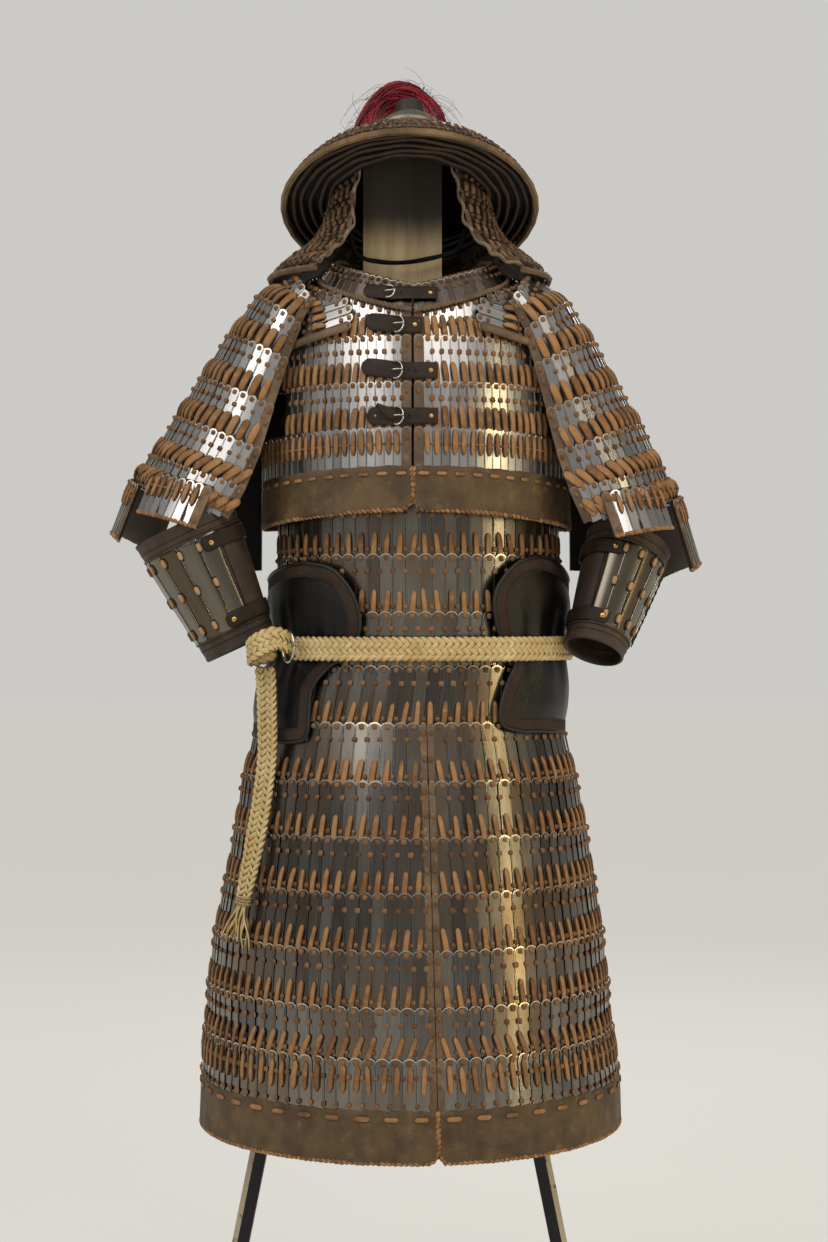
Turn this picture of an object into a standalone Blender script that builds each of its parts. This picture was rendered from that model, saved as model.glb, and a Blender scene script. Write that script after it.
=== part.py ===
"""Lamellar armour on its display stand, in metres, +Z up, front towards -Y.

The suit is laced rows of steel plates with leather edges: helmet, aventail, collar, short
vest, two shoulder guards, two vambraces, a long coat, a leather waist guard and a rope belt.
Each piece is a wall worked out from section tables, and each lies on the points of the piece
beneath it, moved out.
"""
from math import asin, cos, pi, radians, sin, sqrt, tau

import bmesh
import bpy
from mathutils import Matrix, Vector

SUIT = "lamellar_armour"
SEAM = 0.0003          # gap between pieces that touch
ROW_SEAM = 0.0008      # gap between panels whose cut edges lean with their curve
WALL = 0.003           # a row of plates with its lacing
LEATHER = 0.003        # hems, straps and the waist guard

# Forms: ellipses stacked up, each row (height, half width, half depth, middle x).
COAT_FORM = (
    (0.366, 0.3075, 0.272, 0.008),
    (0.436, 0.3050, 0.270, 0.008),
    (0.507, 0.2950, 0.264, 0.005),
    (0.617, 0.2860, 0.251, 0.005),
    (0.713, 0.2690, 0.234, 0.007),
    (0.777, 0.2580, 0.219, 0.008),
    (0.832, 0.2490, 0.206, 0.008),
    (0.867, 0.2430, 0.195, 0.007),
    (0.900, 0.2320, 0.183, 0.006),
    (0.936, 0.2230, 0.172, 0.006),
    (1.000, 0.2120, 0.158, 0.012),
    (1.060, 0.205, 0.155, 0.020),
    (1.120, 0.204, 0.155, 0.020),
    (1.200, 0.204, 0.154, 0.020),
    (1.360, 0.202, 0.151, 0.018),
)
WAIST_GUARD_FORM = (
    (0.915, 0.2300, 0.187, 0.006),
    (0.950, 0.2290, 0.182, 0.007),
    (1.000, 0.2270, 0.174, 0.012),
    (1.035, 0.2185, 0.170, 0.020),
    (1.057, 0.2165, 0.169, 0.020),
    (1.080, 0.2180, 0.170, 0.020),
    (1.120, 0.2210, 0.173, 0.020),
    (1.200, 0.2200, 0.173, 0.020),
)
VEST_FORM = (
    (1.220, 0.2260, 0.193, 0.0165),
    (1.310, 0.2230, 0.190, 0.0165),
    (1.360, 0.2210, 0.186, 0.0165),
    (1.420, 0.2180, 0.178, 0.016),
    (1.480, 0.2140, 0.166, 0.015),
    (1.528, 0.2070, 0.152, 0.014),
    (1.550, 0.1980, 0.142, 0.013),
    (1.570, 0.1800, 0.128, 0.0125),
    (1.585, 0.1490, 0.111, 0.0125),
    (1.598, 0.1080, 0.094, 0.0125),
)

# Coat: the skirt is slit at the front, and its hem band is sewn over the last row.
SKIRT_TOP = 0.936
HEM_TOP = 0.436
HEM_BOTTOM = 0.366
COAT_TOP = 1.360
SLIT_TOP_X = 0.031
SLIT_HEM_X = 0.047
SLIT_GAP = 0.005
HEM_LIFT = 0.002       # how far a hem band stands out from the rows above it

# Waist guard: its front edges, from the bottom corner up round the lobe to its peak, each row
# (share of the edge, left angle in degrees, left height, right angle in degrees, right height).
GUARD_EDGES = (
    (0.00, -47.0, 0.924, 44.0, 0.940),
    (0.10, -39.5, 0.932, 35.0, 0.950),
    (0.22, -38.8, 0.966, 33.6, 0.976),
    (0.34, -39.2, 1.002, 36.0, 1.012),
    (0.44, -35.5, 1.030, 38.4, 1.038),
    (0.54, -26.5, 1.054, 33.4, 1.062),
    (0.64, -22.4, 1.084, 30.0, 1.092),
    (0.74, -23.0, 1.116, 28.7, 1.126),
    (0.83, -27.0, 1.146, 32.0, 1.154),
    (0.92, -35.0, 1.167, 41.0, 1.177),
    (1.00, -46.0, 1.178, 52.0, 1.188),
)
GUARD_BOTTOM = 0.930
GUARD_TOP = 1.152
GUARD_BLEND = 0.20     # share of the wrap over which an edge's shape fades out
GUARD_COLUMNS = 26

# Belt: a flat plaited rope, and its tail's route from the knot down.
BELT_HEIGHT = 1.057
BELT_WIDTH = 0.034
BELT_THICKNESS = 0.0080
BELT_GAP = 0.0038
BELT_DIP = 0.013       # how far the belt draws in between the waist guard's front edges
BELT_DIP_ANGLE = radians(26)
BELT_START = radians(-53.0)
BELT_END = radians(292.0)
RING_CENTRE = (-0.1640, -0.1360, 1.0605)
RING_RADIUS = 0.0225
RING_WIRE = 0.0020
RING_TURN = radians(24)
KNOT_CENTRE = (-0.2000, -0.1440, 1.0610)
KNOT_RADII = (0.018, 0.025, 0.028)
TAIL_WIDTH = 0.030
TAIL_THICKNESS = 0.009
TAIL_ROUTE = (
    (-0.1965, -0.1380, 1.0300),
    (-0.1950, -0.1340, 1.0050),
    (-0.1945, -0.1240, 0.9600),
    (-0.1945, -0.1200, 0.9100),
    (-0.1980, -0.1250, 0.8700),
    (-0.2030, -0.1330, 0.8300),
    (-0.2080, -0.1400, 0.8000),
    (-0.2130, -0.1450, 0.7700),
    (-0.2210, -0.1490, 0.7300),
    (-0.2270, -0.1500, 0.7000),
)
TAIL_STEPS = 26
TAIL_FACE = 1.6         # how far the tail's face is turned to the front
TAIL_NARROW = (0.72, 0.32)  # share of the tail where it starts to narrow, and by how much
TASSEL_LENGTH = 0.066
TASSEL_SWAY = (-0.007, -0.004)  # how far the tassel's foot is from below its top, in x and y
TASSEL_WIDTH = (0.018, 0.030)   # width at the top, and how much wider the foot is
TASSEL_THICKNESS = 0.009

# Vest: opens at the front, with armholes at the sides and a neck that dips in front.
VEST_SLIT_X = 0.0116
VEST_SLIT_GAP = 0.006
VEST_SIDE_GAP = 0.004
VEST_HEM_FRONT = 1.250
VEST_HEM_SIDE = 1.232
VEST_BAND = 0.060
NECK_FRONT = 1.528
NECK_SIDE = 1.596
VEST_LEVELS = (1.24, 0.30)  # height of share 0, and height per share, where edges are read
PANEL_LOW = 0.19
BAND_SHARE = 0.17       # share of the height that the hem band covers
MIDDLE_SHARE = 0.5      # below this share the panel's rows close up on the band
ARMHOLE_MIDDLE = 0.60
ARMHOLE_REACH = 0.26
ARMHOLE_ANGLE = radians(34)
YOKE_LIFT = 0.0060
YOKE_FIRST = radians(27)
YOKE_SWEEP = radians(126)
YOKE_LOW = 1.508        # lower edge of a yoke on the chest
YOKE_SHOULDER = 0.046   # how much higher that edge is on the shoulder
YOKE_FADE = (0.60, 0.22)  # sine of the angle where it starts to rise, and over how much
NECK_X = 0.0125
COLLAR_HEIGHT = 0.040
COLLAR_DROP = 0.020     # how much lower the collar is at its sides and back
COLLAR_LEAN = 0.86
COLLAR_REACH = 0.17     # half width of the oval that the top strap follows round the collar
COLLAR_GAP = radians(2.0)

# Buckle straps across the opening: each row (height, left x, right x, strap width, buckle x).
STRAPS = (
    (1.5570, -0.0553, 0.0427, 0.017, -0.0200),
    (1.5080, -0.0510, 0.0210, 0.021, -0.0075),
    (1.4430, -0.0553, 0.0427, 0.021, -0.0090),
    (1.3790, -0.0480, 0.0430, 0.021, -0.0075),
)
STRAP_LIFT = 0.0045
BUCKLE_RADIUS = 0.0105
BUCKLE_WIRE = 0.0012

# Shoulder guards: sections down the outer line, each row
# (out from the axis, height, lean of the line from upright, inset of the edges, half depth).
GUARD_SPREAD = radians(105)
GUARD_LEFT = (
    (-0.1540, 1.5990, 66, 0.052, 0.1180),
    (-0.1930, 1.5860, 54, 0.074, 0.1200),
    (-0.2190, 1.5640, 38, 0.090, 0.1220),
    (-0.2580, 1.5110, 34, 0.105, 0.1260),
    (-0.2975, 1.4500, 33, 0.127, 0.1310),
    (-0.3395, 1.3840, 33, 0.148, 0.1370),
    (-0.3945, 1.3000, 33, 0.156, 0.1430),
)
GUARD_RIGHT = (
    (0.1730, 1.5970, 66, 0.052, 0.1200),
    (0.2130, 1.5820, 54, 0.074, 0.1220),
    (0.2440, 1.5520, 36, 0.090, 0.1240),
    (0.2770, 1.4990, 31, 0.103, 0.1270),
    (0.3120, 1.4370, 30, 0.123, 0.1310),
    (0.3500, 1.3700, 29, 0.142, 0.1370),
    (0.3965, 1.2760, 28, 0.148, 0.1430),
)
GUARD_EDGE_RISE = 0.06  # how much shorter the guard is at its edges than at its middle
GUARD_BEYOND = 0.078    # length of one more row below the table, for the flaps' tops
# Flaps hung from the last row: each row
# (name, first and last angle, share down at those angles, push outward).
FLAPS = (
    ("front", 42, 87, 0.955, 0.910, 0.020),
    ("side", -54, 37, 0.992, 1.000, 0.000),
    ("back", -88, -57, 0.910, 0.935, 0.020),
)
FLAP_LENGTHS = {"front": (0.063, 0.066), "side": (0.086, 0.106), "back": (0.063, 0.066)}
FLAP_LIFT = 0.0060
FLAP_HANG = (radians(21), radians(17))  # a flap hangs straighter than its guard

# Vambraces: (bottom centre, top centre, width over depth); radii at the wrist and the elbow.
VAMBRACE_LEFT = ((-0.2350, -0.088, 1.0604), (-0.3150, -0.091, 1.2320), 1.11)
VAMBRACE_RIGHT = ((0.2700, -0.097, 1.0530), (0.3255, -0.045, 1.2080), 0.89)
WRIST_RADIUS = 0.0455
ELBOW_RADIUS = 0.0670
VAMBRACE_BULGE = 0.001
CUFF_SHARE = 0.13
TOP_BAND_SHARE = 0.87
BAND_GAP_SHARE = 0.006
BAND_OUT = 0.001
STRAP_FROM = radians(-10)  # the wrist strap runs from here round the side nearer the body
STRAP_TO = radians(165)
STRAP_LOW = 0.148
STRAP_HIGH = 0.255
STRAP_CLEAR = 0.0014

# Helmet: a wide cone tilted back and flattened a little in front, each row
# (distance from the axis, height over the rim plane, how much lower it is at the front).
HELMET_CENTRE = Vector((0.007, 0.0, 1.703))
HELMET_TILT = radians(24)
HELMET_PROFILE = (
    (0.1835, 0.0070, 0.0000),
    (0.1720, 0.0235, 0.0020),
    (0.1500, 0.0495, 0.0050),
    (0.1200, 0.0770, 0.0085),
    (0.0900, 0.1015, 0.0100),
    (0.0600, 0.1205, 0.0060),
    (0.0385, 0.1320, 0.0000),
)
HELMET_FLAT_POWER = 6   # the front drop fades as this power of the cosine of the turn
RIM_RADIUS = 0.1860
RIM_ROLL = 0.0050
CROWN_PROFILE = (
    (0.0390, 0.1326),
    (0.0375, 0.1400),
    (0.0345, 0.1540),
)
FINIAL_PROFILE = (
    (0.0225, 0.1545),
    (0.0225, 0.1870),
    (0.0205, 0.1895),
)
PLUME_ROUTE = (
    (-0.0500, 0.1220, 1.8080),
    (-0.0560, 0.1290, 1.8500),
    (-0.0450, 0.1320, 1.8820),
    (-0.0180, 0.1340, 1.9020),
    (0.0120, 0.1340, 1.9010),
    (0.0350, 0.1320, 1.8800),
    (0.0430, 0.1280, 1.8480),
    (0.0420, 0.1220, 1.8120),
)
PLUME_RADIUS = 0.0120

# Aventail: each row (share outward, share downward, left front angle, right front angle).
AVENTAIL_ROWS = (
    (0.00, 0.00, 36.0, 27.0),
    (0.03, 0.22, 38.5, 32.0),
    (0.12, 0.45, 40.5, 35.8),
    (0.30, 0.67, 35.2, 35.1),
    (0.72, 0.86, 35.1, 37.1),
    (0.90, 0.95, 38.6, 41.6),
    (1.00, 1.00, 40.8, 52.0),
)
AVENTAIL_RING = 0.1120
AVENTAIL_RISE = 0.0560
AVENTAIL_HEM_WIDTH = 0.2000
AVENTAIL_HEM_FRONT = 0.1500
AVENTAIL_HEM_BACK = 0.2150
AVENTAIL_HEM_SIDE_Z = 1.6040
AVENTAIL_HEM_BACK_Z = 1.5800
AVENTAIL_ROLL = 0.0050
AVENTAIL_ROLL_GAP = 0.0026

CHIN_ROUTE = (
    (-0.0850, -0.0080, 1.7100),
    (-0.0810, -0.0290, 1.6740),
    (-0.0710, -0.0440, 1.6380),
    (-0.0560, -0.0500, 1.6245),
    (-0.0390, -0.0510, 1.6205),
    (-0.0190, -0.0515, 1.6185),
    (0.0050, -0.0515, 1.6205),
    (0.0290, -0.0505, 1.6240),
    (0.0530, -0.0485, 1.6290),
    (0.0760, -0.0420, 1.6410),
    (0.0890, -0.0280, 1.6720),
    (0.0950, -0.0080, 1.7080),
)
CHIN_WIDTH = 0.007

# Stand: neck board, shoulder board with its arms, and two legs with long feet.
BOARD_X = (-0.061, 0.054)
BOARD_Y = (-0.0300, -0.0150)
BOARD_Z = (1.340, 1.804)
ARMS_Y = (0.0463, 0.0643)
ARMS_MIDDLE = 0.016
LEG_Y = (-0.0147, 0.0460)
ARMS_TOP = 1.500
LEG_TOP = 1.494
LEG_THICKNESS = 0.025
LEG_MIDDLE_X = -0.008
LEG_TOP_X = 0.040
LEG_SPREAD = 0.232
LEG_CURVE = 1.37
LEG_CUT = 0.008         # chamfer at a leg's outer front corner
LEG_LOW = 0.004
FOOT_LENGTH = 0.480
FOOT_SIDE = 0.004       # how far a foot is wider than its leg, each side
FOOT_HEIGHT = 0.045
COAT_STRAP_X = 0.094
SIDE_SEAM = radians(0.25)   # gap between the front and back skirt panels, each side
COAT_STRAP_FIRST = 0.020    # how far a strap starts below the coat's top
COAT_STRAP_WIDTH = 0.038

COLOURS = {
    "plates": ((0.34, 0.31, 0.27, 1.0), 1.0, 0.35),
    "bright_plates": ((0.62, 0.60, 0.57, 1.0), 1.0, 0.22),
    "hem_leather": ((0.115, 0.065, 0.030, 1.0), 0.0, 0.70),
    "strap_leather": ((0.032, 0.019, 0.011, 1.0), 0.0, 0.55),
    "black_leather": ((0.008, 0.008, 0.008, 1.0), 0.0, 0.35),
    "buckle_steel": ((0.60, 0.58, 0.54, 1.0), 1.0, 0.25),
    "rope": ((0.58, 0.40, 0.13, 1.0), 0.0, 0.60),
    "hair": ((0.40, 0.006, 0.020, 1.0), 0.0, 0.45),
    "dark_steel": ((0.030, 0.028, 0.026, 1.0), 1.0, 0.50),
    "cord_black": ((0.010, 0.009, 0.009, 1.0), 0.0, 0.60),
    "plywood": ((0.55, 0.42, 0.26, 1.0), 0.0, 0.60),
    "black_board": ((0.010, 0.010, 0.010, 1.0), 0.0, 0.50),
}


# ---------------------------------------------------------------- scene and materials
for old in list(bpy.data.objects):
    bpy.data.objects.remove(old, do_unlink=True)
suit = bpy.data.collections.new(SUIT)
cutters = bpy.data.collections.new("cutters")
bpy.context.scene.collection.children.link(suit)
bpy.context.scene.collection.children.link(cutters)


def material(name, kind):
    """Principled material of the piece's own, with the colour row of its kind."""
    colour, metallic, roughness = COLOURS[kind]
    made = bpy.data.materials.new(name + "_material")
    made.use_nodes = True
    shader = made.node_tree.nodes["Principled BSDF"]
    shader.inputs["Base Color"].default_value = colour
    shader.inputs["Metallic"].default_value = metallic
    shader.inputs["Roughness"].default_value = roughness
    made.diffuse_color = colour
    return made


def add_object(name, data, kind, collection=suit):
    """One named object with its material, in the suit's collection."""
    made = bpy.data.objects.new(name, data)
    data.materials.append(material(name, kind))
    collection.objects.link(made)
    return made


# ---------------------------------------------------------------- shape helpers
def smooth(table, column, key):
    """Value of a table's column at a key in its first column, by a cubic through the rows."""
    last = len(table) - 1
    key = min(max(key, table[0][0]), table[last][0])
    row = 0
    while row < last - 1 and key > table[row + 1][0]:
        row += 1
    keys = [line[0] for line in table]
    values = [line[column] for line in table]

    def slope(at):
        before = max(at - 1, 0)
        after = min(at + 1, last)
        return (values[after] - values[before]) / (keys[after] - keys[before])

    width = keys[row + 1] - keys[row]
    t = (key - keys[row]) / width
    start = values[row] * (2 * t**3 - 3 * t**2 + 1)
    end = values[row + 1] * (3 * t**2 - 2 * t**3)
    leave = slope(row) * width * (t**3 - 2 * t**2 + t)
    arrive = slope(row + 1) * width * (t**3 - t**2)
    return start + end + leave + arrive


def form_point(form, angle, height):
    """Point on a stacked-ellipse form; angle 0 is the front and +90 degrees is +X."""
    width, depth, middle = (smooth(form, column, height) for column in (1, 2, 3))
    return Vector((middle + width * sin(angle), -depth * cos(angle), height))


def lifted(form, angle, height, out):
    """Point of a form moved out along the form's own normal."""
    step = 0.002
    low = max(height - step, form[0][0])
    high = min(height + step, form[-1][0])
    across = form_point(form, angle + 0.01, height) - form_point(form, angle - 0.01, height)
    up = form_point(form, angle, high) - form_point(form, angle, low)
    return form_point(form, angle, height) + across.cross(up).normalized() * out


def angle_at(form, x, height):
    """Front angle at which a form has the given x."""
    share = (x - smooth(form, 3, height)) / smooth(form, 1, height)
    return asin(min(max(share, -1.0), 1.0))


def steps(count, low=0.0, high=1.0):
    """Evenly spaced values from low to high, count intervals."""
    return [low + (high - low) * index / count for index in range(count + 1)]


def wall(name, point, across, up, kind, thickness=WALL, closed=False, flip=False):
    """Open grid through point(u, v), made a wall by Solidify with its thickness inward."""
    mesh = bmesh.new()
    columns = across[:-1] if closed else across
    grid = [[mesh.verts.new(point(u, v)) for u in columns] for v in up]
    count = len(columns)
    for row in range(len(up) - 1):
        for column in range(count if closed else count - 1):
            after = (column + 1) % count
            corners = [grid[row][column], grid[row][after], grid[row + 1][after], grid[row + 1][column]]
            mesh.faces.new(corners[::-1] if flip else corners)
    data = bpy.data.meshes.new(name)
    mesh.to_mesh(data)
    mesh.free()
    data.shade_smooth()
    made = add_object(name, data, kind)
    solid = made.modifiers.new("thickness", "SOLIDIFY")
    solid.thickness = thickness
    solid.offset = -1.0
    solid.use_even_offset = True
    return made


def loft(name, rings, kind, closed_path=False):
    """Closed body through rings of points, its ends filled when the path is open."""
    mesh = bmesh.new()
    loops = [[mesh.verts.new(point) for point in ring] for ring in rings]
    around = len(rings[0])
    spans = len(loops) if closed_path else len(loops) - 1
    for index in range(spans):
        here = loops[index]
        there = loops[(index + 1) % len(loops)]
        for side in range(around):
            after = (side + 1) % around
            mesh.faces.new((here[side], here[after], there[after], there[side]))
    if not closed_path:
        mesh.faces.new(loops[0][::-1])
        mesh.faces.new(loops[-1])
    bmesh.ops.recalc_face_normals(mesh, faces=mesh.faces)
    data = bpy.data.meshes.new(name)
    mesh.to_mesh(data)
    mesh.free()
    data.shade_smooth()
    return add_object(name, data, kind)


def smooth_route(points, count):
    """Points read evenly from a smooth curve through a route's own points."""
    rows = [(index, *point) for index, point in enumerate(points)]
    last = len(points) - 1
    return [Vector([smooth(rows, axis, last * step / count) for axis in (1, 2, 3)])
            for step in range(count + 1)]


def tube(name, points, radius, kind, closed=False, resolution=2):
    """Round wire or cord: a poly curve with a bevel and filled caps."""
    curve = bpy.data.curves.new(name, "CURVE")
    curve.dimensions = "3D"
    curve.bevel_depth = radius
    curve.bevel_resolution = resolution
    curve.use_fill_caps = not closed
    spline = curve.splines.new("POLY")
    spline.points.add(len(points) - 1)
    for knot, point in zip(spline.points, points):
        knot.co = (*point, 1.0)
    spline.use_cyclic_u = closed
    return add_object(name, curve, kind)


# ---------------------------------------------------------------- coat
def slit_x(height):
    """x of the front slit, which leans a little from the waist to the hem."""
    share = (height - HEM_BOTTOM) / (SKIRT_TOP - HEM_BOTTOM)
    return SLIT_HEM_X + (SLIT_TOP_X - SLIT_HEM_X) * share


def skirt_panel(name, side, low, high, out, rows, kind):
    """Skirt panel or hem band: a front half from the slit to the side, or the back."""
    def point(u, v):
        height = low + (high - low) * v
        if side == 0:
            start = pi / 2 + SIDE_SEAM
            end = 3 * pi / 2 - SIDE_SEAM
        elif side > 0:
            start = angle_at(COAT_FORM, slit_x(height) + SLIT_GAP / 2, height)
            end = pi / 2
        else:
            start = -pi / 2
            end = angle_at(COAT_FORM, slit_x(height) - SLIT_GAP / 2, height)
        return lifted(COAT_FORM, start + (end - start) * u, height, out)

    columns = steps(18 if side == 0 else 9)
    wall(name, point, columns, steps(rows), kind, LEATHER)


def waist_point(u, v):
    """The rows round the body, from the top of the skirt to the chest under the vest."""
    return form_point(COAT_FORM, tau * u, SKIRT_TOP + ROW_SEAM + (COAT_TOP - SKIRT_TOP - ROW_SEAM) * v)


wall("coat_waist", waist_point, steps(32), steps(5), "plates", closed=True)
for label, side in (("left", -1), ("right", 1), ("back", 0)):
    skirt_panel("skirt_" + label, side, HEM_TOP + ROW_SEAM, SKIRT_TOP, 0.0, 5, "plates")
    skirt_panel("skirt_hem_" + label, side, HEM_BOTTOM, HEM_TOP, HEM_LIFT, 1, "hem_leather")


def coat_strap(name, x):
    """Leather strap from the coat's front top, over the shoulder board, to its back top.

    The route leans in from the chest to the board and out again to the back.
    """
    nearest = x - COAT_STRAP_WIDTH / 2 if x > 0 else x + COAT_STRAP_WIDTH / 2
    front = form_point(COAT_FORM, angle_at(COAT_FORM, nearest, COAT_TOP), COAT_TOP).y
    front -= LEATHER / 2 + ROW_SEAM
    over = (ARMS_Y[0] + ARMS_Y[1]) / 2
    rest = ARMS_TOP + LEATHER / 2 + ROW_SEAM
    route = smooth_route((
        (x, front, COAT_TOP - COAT_STRAP_FIRST),
        (x, front, COAT_TOP + LEATHER),
        (x, front * 0.84, COAT_TOP + 0.060),
        (x, front * 0.42, COAT_TOP + 0.118),
        (x, over - 0.018, rest),
        (x, over + 0.018, rest),
        (x, -front * 0.90, COAT_TOP + 0.070),
        (x, -front, COAT_TOP + LEATHER),
        (x, -front, COAT_TOP - COAT_STRAP_FIRST),
    ), 18)
    rings = []
    for index, point in enumerate(route):
        ahead = route[min(index + 1, len(route) - 1)] - route[max(index - 1, 0)]
        normal = Vector((1, 0, 0)).cross(ahead).normalized() * (LEATHER / 2)
        half = Vector((COAT_STRAP_WIDTH / 2, 0, 0))
        rings.append([point - half - normal, point + half - normal,
                      point + half + normal, point - half + normal])
    loft(name, rings, "strap_leather")


coat_strap("coat_strap_left", -COAT_STRAP_X)
coat_strap("coat_strap_right", COAT_STRAP_X)


# ---------------------------------------------------------------- waist guard and belt
def waist_guard_point(s, v):
    """Leather wrap round the back; each front edge's shape fades out over the wrap's first part."""
    u = s - 0.60 * sin(tau * s) / tau
    left, left_height, right, right_height = (smooth(GUARD_EDGES, column, v) for column in (1, 2, 3, 4))
    near_right = max(0.0, 1.0 - u / GUARD_BLEND) ** 2
    near_left = max(0.0, 1.0 - (1.0 - u) / GUARD_BLEND) ** 2
    first = GUARD_EDGES[0][3]
    last = 360.0 + GUARD_EDGES[0][1]
    angle = first + (last - first) * u + near_right * (right - first) + near_left * (left + 360.0 - last)
    height = GUARD_BOTTOM + (GUARD_TOP - GUARD_BOTTOM) * v
    height += near_right * (right_height - height) + near_left * (left_height - height)
    return form_point(WAIST_GUARD_FORM, radians(angle), height)


wall("waist_guard", waist_guard_point, steps(GUARD_COLUMNS), [row[0] for row in GUARD_EDGES],
     "black_leather", LEATHER)


def belt_ring_of_points(angle):
    """Section of the flat rope where the belt passes an angle; it draws in at the front."""
    turn = (angle + pi) % tau - pi
    dip = BELT_DIP * max(0.0, cos(min(abs(turn) / BELT_DIP_ANGLE, 1.0) * pi / 2))
    inner = BELT_GAP - dip
    half = BELT_WIDTH / 2
    corner = BELT_THICKNESS / 3
    section = ((inner, -half + corner), (inner + corner, -half),
               (inner + 2 * corner, -half), (inner + 3 * corner, -half + corner),
               (inner + 3 * corner, half - corner), (inner + 2 * corner, half),
               (inner + corner, half), (inner, half - corner))
    base = form_point(WAIST_GUARD_FORM, angle, BELT_HEIGHT)
    ahead = form_point(WAIST_GUARD_FORM, angle + 0.01, BELT_HEIGHT) - base
    normal = ahead.cross(Vector((0, 0, 1))).normalized()
    return [base + normal * out + Vector((0, 0, up)) for out, up in section]


loft("belt", [belt_ring_of_points(angle) for angle in steps(34, BELT_START, BELT_END)], "rope")

ring_axes = Matrix.Rotation(RING_TURN, 3, "Z")
tube("belt_ring", [Vector(RING_CENTRE) + ring_axes @ Vector((0, RING_RADIUS * cos(turn),
                                                             RING_RADIUS * sin(turn)))
                   for turn in steps(20, 0, tau)[:-1]], RING_WIRE, "buckle_steel", closed=True, resolution=1)

knot_mesh = bmesh.new()
bmesh.ops.create_icosphere(knot_mesh, subdivisions=2, radius=1.0)
for vertex in knot_mesh.verts:
    vertex.co = Vector([c * r for c, r in zip(vertex.co, KNOT_RADII)]) + Vector(KNOT_CENTRE)
knot_data = bpy.data.meshes.new("belt_knot")
knot_mesh.to_mesh(knot_data)
knot_mesh.free()
add_object("belt_knot", knot_data, "rope")


def flat_section(centre, ahead, outward, width, thickness):
    """Eight-sided section of a flat rope, square to its path."""
    across = ahead.cross(outward).normalized()
    normal = across.cross(ahead).normalized()
    half = width / 2
    flat = thickness / 2
    cut = thickness / 3
    corners = ((-half + cut, -flat), (half - cut, -flat), (half, -flat + cut), (half, flat - cut),
               (half - cut, flat), (-half + cut, flat), (-half, flat - cut), (-half, -flat + cut))
    return [centre + across * a + normal * n for a, n in corners]


tail_points = smooth_route(TAIL_ROUTE, TAIL_STEPS)
tail_rings = []
for index, point in enumerate(tail_points):
    ahead = tail_points[min(index + 1, TAIL_STEPS)] - tail_points[max(index - 1, 0)]
    outward = Vector((point.x, point.y * TAIL_FACE, 0)).normalized()
    share = index / TAIL_STEPS
    narrow = 1.0 - TAIL_NARROW[1] * max(0.0, (share - TAIL_NARROW[0]) / (1.0 - TAIL_NARROW[0]))
    tail_rings.append(flat_section(point, ahead, outward, TAIL_WIDTH * narrow, TAIL_THICKNESS))
loft("belt_tail", tail_rings, "rope")
tassel_top = tail_points[-1] + Vector((-SEAM, 0.0, -TAIL_THICKNESS / 3))
tassel_rings = []
for share in steps(4):
    centre = tassel_top + Vector((*TASSEL_SWAY, -TASSEL_LENGTH)) * share
    outward = Vector((centre.x, centre.y * TAIL_FACE, 0)).normalized()
    ahead = tail_points[-1] - tail_points[-2]
    tassel_rings.append(flat_section(centre, ahead.normalized(), outward,
                                     TASSEL_WIDTH[0] + TASSEL_WIDTH[1] * share, TASSEL_THICKNESS))
loft("belt_tassel", tassel_rings, "rope")


# ---------------------------------------------------------------- vest
def vest_hem(angle):
    """Height of the vest's lower edge, a little lower at the sides."""
    return VEST_HEM_FRONT + (VEST_HEM_SIDE - VEST_HEM_FRONT) * sin(angle) ** 2


def vest_neck(angle):
    """Height of the neck line, which dips at the front."""
    if cos(angle) < 0:
        return NECK_SIDE
    return NECK_FRONT + (NECK_SIDE - NECK_FRONT) * abs(sin(angle)) ** 1.3


def armhole(share):
    """How far the side edge of a panel draws back at the armhole, as an angle."""
    off = (share - ARMHOLE_MIDDLE) / ARMHOLE_REACH
    return ARMHOLE_ANGLE * sqrt(max(0.0, 1.0 - off * off))


def vest_edges(side, share, height):
    """First and last angle of a vest panel at a share of its height."""
    gap = VEST_SIDE_GAP / 2 / 0.22
    if side == 0:
        return pi / 2 + gap + armhole(share), 3 * pi / 2 - gap - armhole(share)
    if side > 0:
        start = angle_at(VEST_FORM, VEST_SLIT_X + VEST_SLIT_GAP / 2, height)
        return start, pi / 2 - gap - armhole(share)
    end = angle_at(VEST_FORM, VEST_SLIT_X - VEST_SLIT_GAP / 2, height)
    return -pi / 2 + gap + armhole(share), end


def vest_panel(name, side, low, high, out, rows, kind):
    """Vest panel or hem band between two shares of the height."""
    def point(u, v):
        share = low + (high - low) * v
        near = VEST_LEVELS[0] + VEST_LEVELS[1] * share
        start, end = vest_edges(side, share, near)
        angle = start + (end - start) * u
        bottom = vest_hem(angle)
        height = bottom + (vest_neck(angle) - bottom) * share
        if high < MIDDLE_SHARE:
            height = bottom + VEST_BAND * v
        elif share < MIDDLE_SHARE:
            lift = bottom + VEST_BAND + SEAM
            height = lift + (height - lift) * (share - low) / (MIDDLE_SHARE - low)
        return lifted(VEST_FORM, angle, height, out)

    wall(name, point, steps(18 if side == 0 else 9), rows, kind, LEATHER)


PANEL_ROWS = (0.0, 0.20, 0.36, 0.52, 0.68, 0.80, 0.88, 0.94, 1.0)
for label, side in (("left", -1), ("right", 1), ("back", 0)):
    vest_panel(("vest_" if side == 0 else "vest_front_") + label, side, PANEL_LOW, 1.0, 0.0,
               PANEL_ROWS, "bright_plates")
    vest_panel("vest_hem_" + label, side, 0.0, BAND_SHARE, HEM_LIFT, (0.0, 1.0), "hem_leather")


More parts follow.
